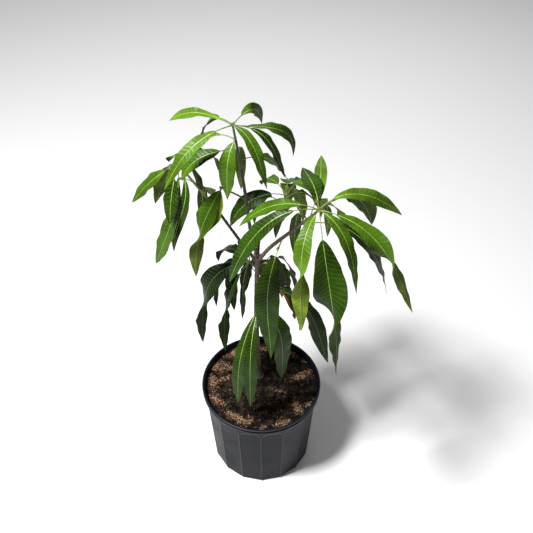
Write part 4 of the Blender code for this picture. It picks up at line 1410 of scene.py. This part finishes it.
@dataclass
class Pot:
    """The moulded nursery pot: beaded rim, and arched panels between creases."""

    height: float = 0.252
    rim_radius: float = 0.1425
    neck_radius: float = 0.1375
    base_radius: float = 0.1225
    wall: float = 2.2 * MM
    panels: int = 16
    steps_per_panel: int = 22
    step_crowding: float = 1.8
    top_roundness: float = 0.5
    panel_top: float = 0.228
    panel_shoulder: float = 0.198
    shoulder_draft: float = 3.5 * MM
    top_draft: float = 1 * MM
    rim_band: float = 15 * MM
    lower_bead: Bead = Bead(3.0 * MM, 3.0 * MM, 2.4 * MM, -80, 75)
    upper_bead: Bead = Bead(2.4 * MM, 12.4 * MM, 2.4 * MM, -70, 110)
    bead_depth: float = 3.2 * MM
    groove_depth: float = 0.4 * MM
    groove_lifts: Span = (6.2 * MM, 9.4 * MM)
    neck_out: float = 0.6 * MM
    neck_up: float = 0.2 * MM
    lip_drop: float = 0.6 * MM
    foot_chamfer: float = 5 * MM
    arch_drop: float = 13 * MM
    arch_edge: float = 3 * MM
    arch_power: int = 4
    arch_rows: int = 36
    # Half width of the painted highlight along each arch's edge.
    arch_line: float = 0.8 * MM
    crease: float = 0.8 * MM
    crease_width: float = 1.1 * MM
    row_height: float = 2.2 * MM
    # Rim rows that carry the painted highlight on the bead crests.
    highlight_rim_rows: tuple[int, ...] = (5, 6, 7, 16, 17)
    sharp_angle: float = 38

    def build(self) -> None:
        """Build the pot as one piece."""
        heights = self._outer_heights()
        rings = [self._flat_ring(self.base_radius - self.foot_chamfer, 0.0)]
        rings += [self._wall_ring(height, 0.0) for height in heights]
        rings += [self._ring(radius, height) for radius, height in self._rim_rows()]
        rings += [self._wall_ring(height, self.wall) for height in heights[:0:-2]]
        rings.append(self._flat_ring(self.base_radius - self.wall - self.foot_chamfer, self.wall))
        data = MeshData()
        data.take(np.concatenate(rings), closed_faces(len(rings), len(rings[0])),
                  self._slots(len(rings) - 1, heights) + [0, 0])
        pot = data.make("pot_shell", (BLACK_PLASTIC, HIGHLIGHT_PLASTIC), ["pot"])
        pot.data.set_sharp_from_angle(angle=math.radians(self.sharp_angle))

    def _slots(self, rows: int, heights: np.ndarray) -> list[int]:
        """Material numbers: 1, the painted highlight, on a crease, along an arch's edge or on a bead's
        crest, and else 0.

        Args:
            rows: Rows of faces, counted from the foot.
            heights: Heights of the outer wall's rings.

        Returns:
            The numbers, row by row.
        """
        edge = self.panel_top - self.arch_edge - self.arch_drop * self._within() ** self.arch_power
        step = np.arange(len(edge)) % self.steps_per_panel
        on_crease = (step == 0) | (step == self.steps_per_panel - 1)
        slots = np.zeros((rows, len(edge)), int)
        for row in range(2, len(heights)):
            below = edge - heights[row]
            slots[row] = (np.abs(below) < self.arch_line) | (on_crease & (below > 0))
        slots[[row + len(heights) + 1 for row in self.highlight_rim_rows]] = 1
        return slots.ravel().tolist()

    def _within(self) -> np.ndarray:
        """Place of each step across its panel, from -1 at one crease to 1 at the next."""
        place = np.arange(self.panels * self.steps_per_panel) % self.steps_per_panel \
            / self.steps_per_panel * 2 - 1
        return np.sign(place) * (1 - (1 - np.abs(place)) ** self.step_crowding)

    def _ring(self, reach: float | np.ndarray, height: float) -> np.ndarray:
        """One ring of vertices, from one radius or the radius at each step."""
        half = math.pi / self.panels
        within = self._within()
        panel = np.arange(len(within)) // self.steps_per_panel
        angle = (2 * panel + 1) * half - math.pi / 2 + within * half
        return np.stack([reach * np.cos(angle), reach * np.sin(angle), np.full_like(angle, height)], axis=1)

    def _flat(self, radius: float) -> np.ndarray:
        """Radius at each step of a ring that is straight from crease to crease."""
        half = math.pi / self.panels
        return radius * math.cos(half) / np.cos(self._within() * half)

    def _flat_ring(self, radius: float, height: float) -> np.ndarray:
        """One ring that is straight from crease to crease."""
        return self._ring(self._flat(radius), height)

    def _wall_radius(self, height: float) -> float:
        """Radius of the outer wall at its creases."""
        rows = ((self.foot_chamfer, self.base_radius),
                (self.panel_shoulder, self.neck_radius - self.shoulder_draft),
                (self.panel_top, self.neck_radius - self.top_draft),
                (self.height - self.rim_band, self.neck_radius))
        return float(np.interp(height, *zip(*rows)))

    def _outer_heights(self) -> np.ndarray:
        """Heights of the outer wall's rings, closer together round the arches."""
        arches = self.panel_top - self.arch_drop - 2 * self.arch_edge
        below = np.linspace(self.foot_chamfer, arches, round(arches / self.row_height))
        return np.concatenate([below, np.linspace(arches, self.height - self.rim_band, self.arch_rows)[1:]])

    def _wall_ring(self, height: float, inward: float) -> np.ndarray:
        """One ring of the wall: a sunk flat under each arch, and a thin rib at each crease.

        Args:
            height: Height above the floor.
            inward: Distance in from the outer face.

        Returns:
            The vertices.
        """
        within = np.abs(self._within())
        radius = self._wall_radius(height)
        arch = self.panel_top - self.arch_drop * within ** self.arch_power
        share = np.clip((arch - height) / self.arch_edge, 0, 1)
        share = share * share * (3 - 2 * share)
        from_crease = (1 - within) * math.pi / self.panels * radius
        rib = self.crease * np.exp(-(from_crease / self.crease_width) ** 2) * share
        flatness = share * (1 - self.top_roundness * height / self.panel_top)
        reach = radius + (self._flat(radius) - radius) * flatness + rib * (inward == 0) - inward
        return self._ring(reach, height)

    def _rim_rows(self) -> list[Span]:
        """Radius and height up over the rim: two round beads with a groove between, and the lip."""
        foot, inner = self.height - self.rim_band, self.rim_radius - self.bead_depth
        rows = [(self.neck_radius + self.neck_out, foot + self.neck_up), *self._bead(self.lower_bead, foot)]
        rows += [(inner - self.groove_depth, foot + lift) for lift in self.groove_lifts]
        return [*rows, *self._bead(self.upper_bead, foot), (inner - self.wall, self.height - self.lip_drop)]

    def _bead(self, bead: Bead, foot: float) -> list[Span]:
        """Radius and height rows round one bead, above the rim band's foot."""
        return [(self.rim_radius - bead.inset + bead.size * math.cos(turn),
                 foot + bead.lift + bead.size * math.sin(turn))
                for turn in np.radians(np.linspace(bead.start, bead.end, bead.rows))]


@dataclass(frozen=True)
class SunFleck:
    """A sunlit patch painted on the soil in pale mix and chips: where it lies, how long and wide, and its
    turn in degrees.
    """

    x: float
    y: float
    long: float
    wide: float
    turn: float = 0.0

    def _axes(self) -> Span:
        """Cosine and sine of its turn."""
        return math.cos(math.radians(self.turn)), math.sin(math.radians(self.turn))

    def distance(self, x: float, y: float) -> float:
        """How far out a place lies, squared, with 1 at the patch's edge."""
        c, s = self._axes()
        u = ((x - self.x) * c + (y - self.y) * s) / self.long
        v = ((y - self.y) * c - (x - self.x) * s) / self.wide
        return u * u + v * v

    def spot(self, u: float, v: float) -> Span:
        """The place that lies these shares of its length and width from its middle."""
        c, s = self._axes()
        u, v = u * self.long, v * self.wide
        return self.x + u * c - v * s, self.y + u * s + v * c


@dataclass
class Soil:
    """The potting mix: a lumpy dark bed with crumbs all over it, and pale mix and chips in patches of
    painted sunlight.
    """

    edge_radius: float = 0.1362
    under_rows: tuple[Span, ...] = ((0.1300, 0.224), (0.1265, 0.19), (0.113, 9 * MM), (0.108, 4 * MM))
    rings: int = 120
    around: int = 400
    inner_share: float = 0.004
    crowding: float = 0.75
    lump: float = 4.5 * MM
    lump_scale: float = 45
    lump_octaves: tuple[float, float, int] = (0.8, 2.0, 4)
    grit: float = 1.2 * MM
    grit_scale: float = 420
    level_round_trunk: float = 0.03
    edge_start: float = 0.115
    edge_width: float = 0.022
    edge_drop: float = 1.05 * MM
    patch_falloff: float = 2.6
    patch_noise: float = 0.42
    patch_noise_scale: float = 190
    patch_noise_slice: float = 0.3
    patch_octaves: tuple[float, float, int] = (0.7, 2.1, 4)
    # Thresholds of painted half light and painted sunlight on the bed.
    fleck_edge_from: float = 0.36
    fleck_from: float = 0.50
    crumbs: int = 3600
    crumb_margin: float = 4 * MM
    crumb_sizes: Span = (0.7, 1.0)
    crumb_classes: tuple[float, ...] = (1.0, 1.3, 2.2)
    chips_per_square_metre: float = 330000.0
    chip_spread: float = 0.30
    chip_margin: float = 3 * MM
    chip_sizes: Span = (0.7, 2.4)
    grain_stretches: tuple[Span, ...] = ((0.8, 1.7), (0.6, 1.0), (0.4, 0.8))
    grain_jitter: Span = (0.75, 1.15)
    grain_lift: float = 0.25
    grain_ceiling: float = 1.0 * MM
    seed: int = 31
    # Patches of painted sunlight on the bed, where the chips also crowd.
    sun_flecks: tuple[SunFleck, ...] = (
        SunFleck(-0.108, 0.062, 0.046, 0.017, 8), SunFleck(-0.085, 0.052, 0.040, 0.010, 20),
        SunFleck(-0.118, 0.012, 0.034, 0.020, -75), SunFleck(-0.092, 0.022, 0.044, 0.009, 24),
        SunFleck(-0.106, -0.040, 0.034, 0.018, -50), SunFleck(-0.056, -0.092, 0.052, 0.013, -32),
        SunFleck(-0.029, -0.098, 0.020, 0.013, 30), SunFleck(-0.074, 0.098, 0.030, 0.012, 15),
        SunFleck(-0.052, 0.114, 0.034, 0.011, 0), SunFleck(0.003, -0.121, 0.013, 0.010, 60),
        SunFleck(0.048, -0.106, 0.028, 0.013, 20), SunFleck(0.086, -0.062, 0.030, 0.015, -62),
        SunFleck(0.112, -0.054, 0.014, 0.009, 40), SunFleck(0.104, 0.034, 0.058, 0.014, 24),
        SunFleck(0.046, -0.016, 0.016, 0.006, 0), SunFleck(0.057, -0.024, 0.018, 0.005, 70),
        SunFleck(0.080, 0.100, 0.026, 0.012, -40), SunFleck(0.110, 0.078, 0.016, 0.010, 0),
        SunFleck(0.010, 0.118, 0.030, 0.012, 0))

    def build(self) -> None:
        """Build the bed, the crumbs and the chips."""
        self._build_bed()
        rng = random.Random(self.seed)
        self._scatter("soil_crumbs", self._crumb_spots(rng), (MIX_CRUMB, *[DARK_MIX] * 4, BROWN_CHIP_AND_FLECK_EDGE), rng)
        self._scatter("soil_chips", self._chip_spots(rng), (TAN_CHIP, BROWN_CHIP_AND_FLECK_EDGE, TAN_CHIP, MIX_CRUMB), rng)

    def _surface(self, x: float, y: float) -> float:
        """Height of the bed at a place: lumpy, level round the trunk, and lower by the pot's wall."""
        where = Vector((x, y, 0.0))
        lumps = min(1.0, max(0.0, noise.fractal(where * self.lump_scale, *self.lump_octaves) * 0.5 + 0.5))
        grit = noise.noise(where * self.grit_scale) * 0.5 + 0.5
        to_trunk = math.hypot(x - TRUNK_FOOT.x, y - TRUNK_FOOT.y)
        near = math.exp(-(to_trunk / self.level_round_trunk) ** 2)
        edge = min(1.0, max(0.0, (math.hypot(x, y) - self.edge_start) / self.edge_width))
        return SOIL_LEVEL - self.lump * lumps * (1 - near) - self.grit * grit - self.edge_drop * edge

    def _build_bed(self) -> None:
        """The bed as a closed body down to the pot's floor."""
        angles = np.linspace(0, math.tau, self.around, endpoint=False)
        points = []
        for share in np.linspace(self.inner_share, 1, self.rings) ** self.crowding:
            for angle in angles:
                x, y = (share * self.edge_radius * part for part in (math.cos(angle), math.sin(angle)))
                points.append((x, y, self._surface(x, y)))
        for radius, height in self.under_rows:
            points += [(radius * math.cos(angle), radius * math.sin(angle), height) for angle in angles]
        faces = closed_faces(self.rings + len(self.under_rows), self.around, clockwise=True)
        slots = [self._sun_fleck_slot(*points[face[0]][:2]) for face in faces[:(self.rings - 1) * self.around]]
        slots += [0] * (len(faces) - len(slots))
        data = MeshData()
        data.take(np.array(points), faces, slots)
        data.make("soil_bed", (DARK_MIX, BROWN_CHIP_AND_FLECK_EDGE, SUN_FLECK_MIX), ["soil"])

    def _sun_fleck_slot(self, x: float, y: float) -> int:
        """Material number of the bed at a place: 0 dark, 1 painted half light at a patch's edge, 2 painted
        sunlight inside it.
        """
        depth = max(math.exp(-patch.distance(x, y) * self.patch_falloff) for patch in self.sun_flecks)
        where = Vector((x, y, self.patch_noise_slice)) * self.patch_noise_scale
        depth += self.patch_noise * noise.fractal(where, *self.patch_octaves)
        return 2 if depth > self.fleck_from else int(depth > self.fleck_edge_from)

    def _crumb_spots(self, rng: random.Random) -> list[Row]:
        """Places and sizes of crumbs, spread evenly over the bed."""
        spots = []
        for _ in range(self.crumbs):
            radius = (self.edge_radius - self.crumb_margin) * math.sqrt(rng.random())
            angle = rng.uniform(0, math.tau)
            size = rng.uniform(*self.crumb_sizes) * rng.choice(self.crumb_classes) * MM
            spots.append((radius * math.cos(angle), radius * math.sin(angle), size))
        return spots

    def _chip_spots(self, rng: random.Random) -> list[Row]:
        """Places and sizes of chips, crowded into the patches of painted sunlight."""
        spots = []
        for patch in self.sun_flecks:
            for _ in range(round(patch.long * patch.wide * self.chips_per_square_metre)):
                x, y = patch.spot(rng.gauss(0, self.chip_spread), rng.gauss(0, self.chip_spread))
                if math.hypot(x, y) < self.edge_radius - self.chip_margin:
                    spots.append((x, y, rng.uniform(*self.chip_sizes) * MM))
        return spots

    def _scatter(self, name: str, spots: Sequence[Row], finishes: Sequence[MixFinish],
                 rng: random.Random) -> None:
        """Grains of mix on the bed, joined into one piece.

        Args:
            name: The piece's name.
            spots: Place and size of each.
            finishes: The finishes that they are dealt.
            rng: The seeded dice.
        """
        corners, sides = self._grain_shape()
        data = MeshData()
        for x, y, size in spots:
            turn = Matrix.Rotation(rng.uniform(0, math.tau), 3, Vector((rng.random(), rng.random(), 1.0)))
            stretch = [rng.uniform(*span) for span in self.grain_stretches]
            height = min(self._surface(x, y) + self.grain_lift * size, SOIL_LEVEL + self.grain_ceiling)
            points = [turn @ Vector(part * scale * size * rng.uniform(*self.grain_jitter)
                                    for part, scale in zip(corner, stretch))
                      + Vector((x, y, height)) for corner in corners]
            data.take(np.array([tuple(point) for point in points]), sides,
                      [rng.randrange(len(finishes))] * len(sides))
        data.make(name, finishes, [], smooth=False)

    @staticmethod
    def _grain_shape() -> tuple[list[Row], list[Face]]:
        """Corners and faces of a twenty-sided grain."""
        g = (1 + math.sqrt(5)) / 2
        corners = [(a, b * g, 0) for a in (-1, 1) for b in (-1, 1)]
        corners += [(0, a, b * g) for a in (-1, 1) for b in (-1, 1)]
        corners += [(b * g, 0, a) for a in (-1, 1) for b in (-1, 1)]
        faces = []
        for face in combinations(range(len(corners)), 3):
            a, b, c = (Vector(corners[k]) for k in face)
            if all(math.isclose((p - q).length, 2, abs_tol=0.01) for p, q in ((a, b), (b, c), (a, c))):
                faces.append(face if (b - a).cross(c - a).dot(a) > 0 else (face[0], face[2], face[1]))
        return [tuple(part / g for part in corner) for corner in corners], faces


@dataclass(frozen=True)
class Lamp:
    """A square lamp that faces the crown: its place, the length of its side and its watts."""

    name: str
    place: Row
    size: float
    power: float


@dataclass
class Studio:
    """Pale floor, soft light from the upper left, and the camera at the photographed view."""

    floor_colour: Colour = (0.86, 0.86, 0.86)
    floor_reach: float = 14.0
    floor_roughness: float = 0.9
    lamps: tuple[Lamp, ...] = (Lamp("key", (-1.1, -0.6, 3.0), 0.5, 150.0),
                               Lamp("fill", (1.9, -1.6, 1.5), 2.2, 3.0),
                               Lamp("back", (0.5, 2.2, 2.0), 2.0, 10.0))
    lamps_face: Row = (0, 0, 0.5)
    sky_strength: float = 0.18
    focal_pixels: float = 750.0
    frame_pixels: float = 533.0
    sensor: float = 36.0
    camera_place: Row = (0.0145, -1.098, 1.715)
    camera_pitch: float = 44.43
    camera_yaw: float = 0.10

    def build(self) -> None:
        """Build floor, lights and camera."""
        self._build_floor()
        for lamp in self.lamps:
            self._add_lamp(lamp)
        world = bpy.data.worlds.new("studio")
        world.use_nodes = True
        sky = world.node_tree.nodes["Background"].inputs
        sky["Color"].default_value = (1.0, 1.0, 1.0, 1.0)
        sky["Strength"].default_value = self.sky_strength
        bpy.context.scene.world = world
        bpy.context.scene.view_settings.view_transform = "Standard"
        self._add_camera()

    def _build_floor(self) -> None:
        """A plain pale sheet under everything."""
        mesh = bpy.data.meshes.new("floor")
        corners = [(x * self.floor_reach, y * self.floor_reach, 0)
                   for x, y in ((-1, -1), (1, -1), (1, 1), (-1, 1))]
        mesh.from_pydata(corners, [], [(0, 1, 2, 3)])
        mesh.materials.append(Nodes("pale_floor").finish(base_color=self.floor_colour,
                                                         roughness=self.floor_roughness))
        put("floor", mesh)

    def _add_lamp(self, lamp: Lamp) -> None:
        """Hang one lamp."""
        light = bpy.data.lights.new(lamp.name, "AREA")
        light.size = lamp.size
        light.energy = lamp.power
        item = put(lamp.name, light)
        item.location = lamp.place
        facing = Vector(self.lamps_face) - Vector(lamp.place)
        item.rotation_euler = facing.to_track_quat("-Z", "Y").to_euler()

    def _add_camera(self) -> None:
        """The camera, worked out from its focal length in pixels of the square frame."""
        lens = bpy.data.cameras.new("view")
        lens.sensor_width = self.sensor
        lens.lens = self.focal_pixels / self.frame_pixels * self.sensor
        camera = put("view", lens)
        camera.location = self.camera_place
        camera.rotation_euler = (math.radians(90 - self.camera_pitch), 0, math.radians(self.camera_yaw))
        bpy.context.scene.camera = camera


def main() -> None:
    """Dress the whole model."""
    logging.basicConfig(level=logging.INFO, format="%(message)s")
    Studio().build()
    Pot().build()
    Soil().build()
    WoodySkin().build()
    BudScales().build()
    crown = Crown()
    for mass in MASSES:
        LeafMass(mass, crown.leaves[mass.name]).build()


if __name__ == "__main__":
    main()
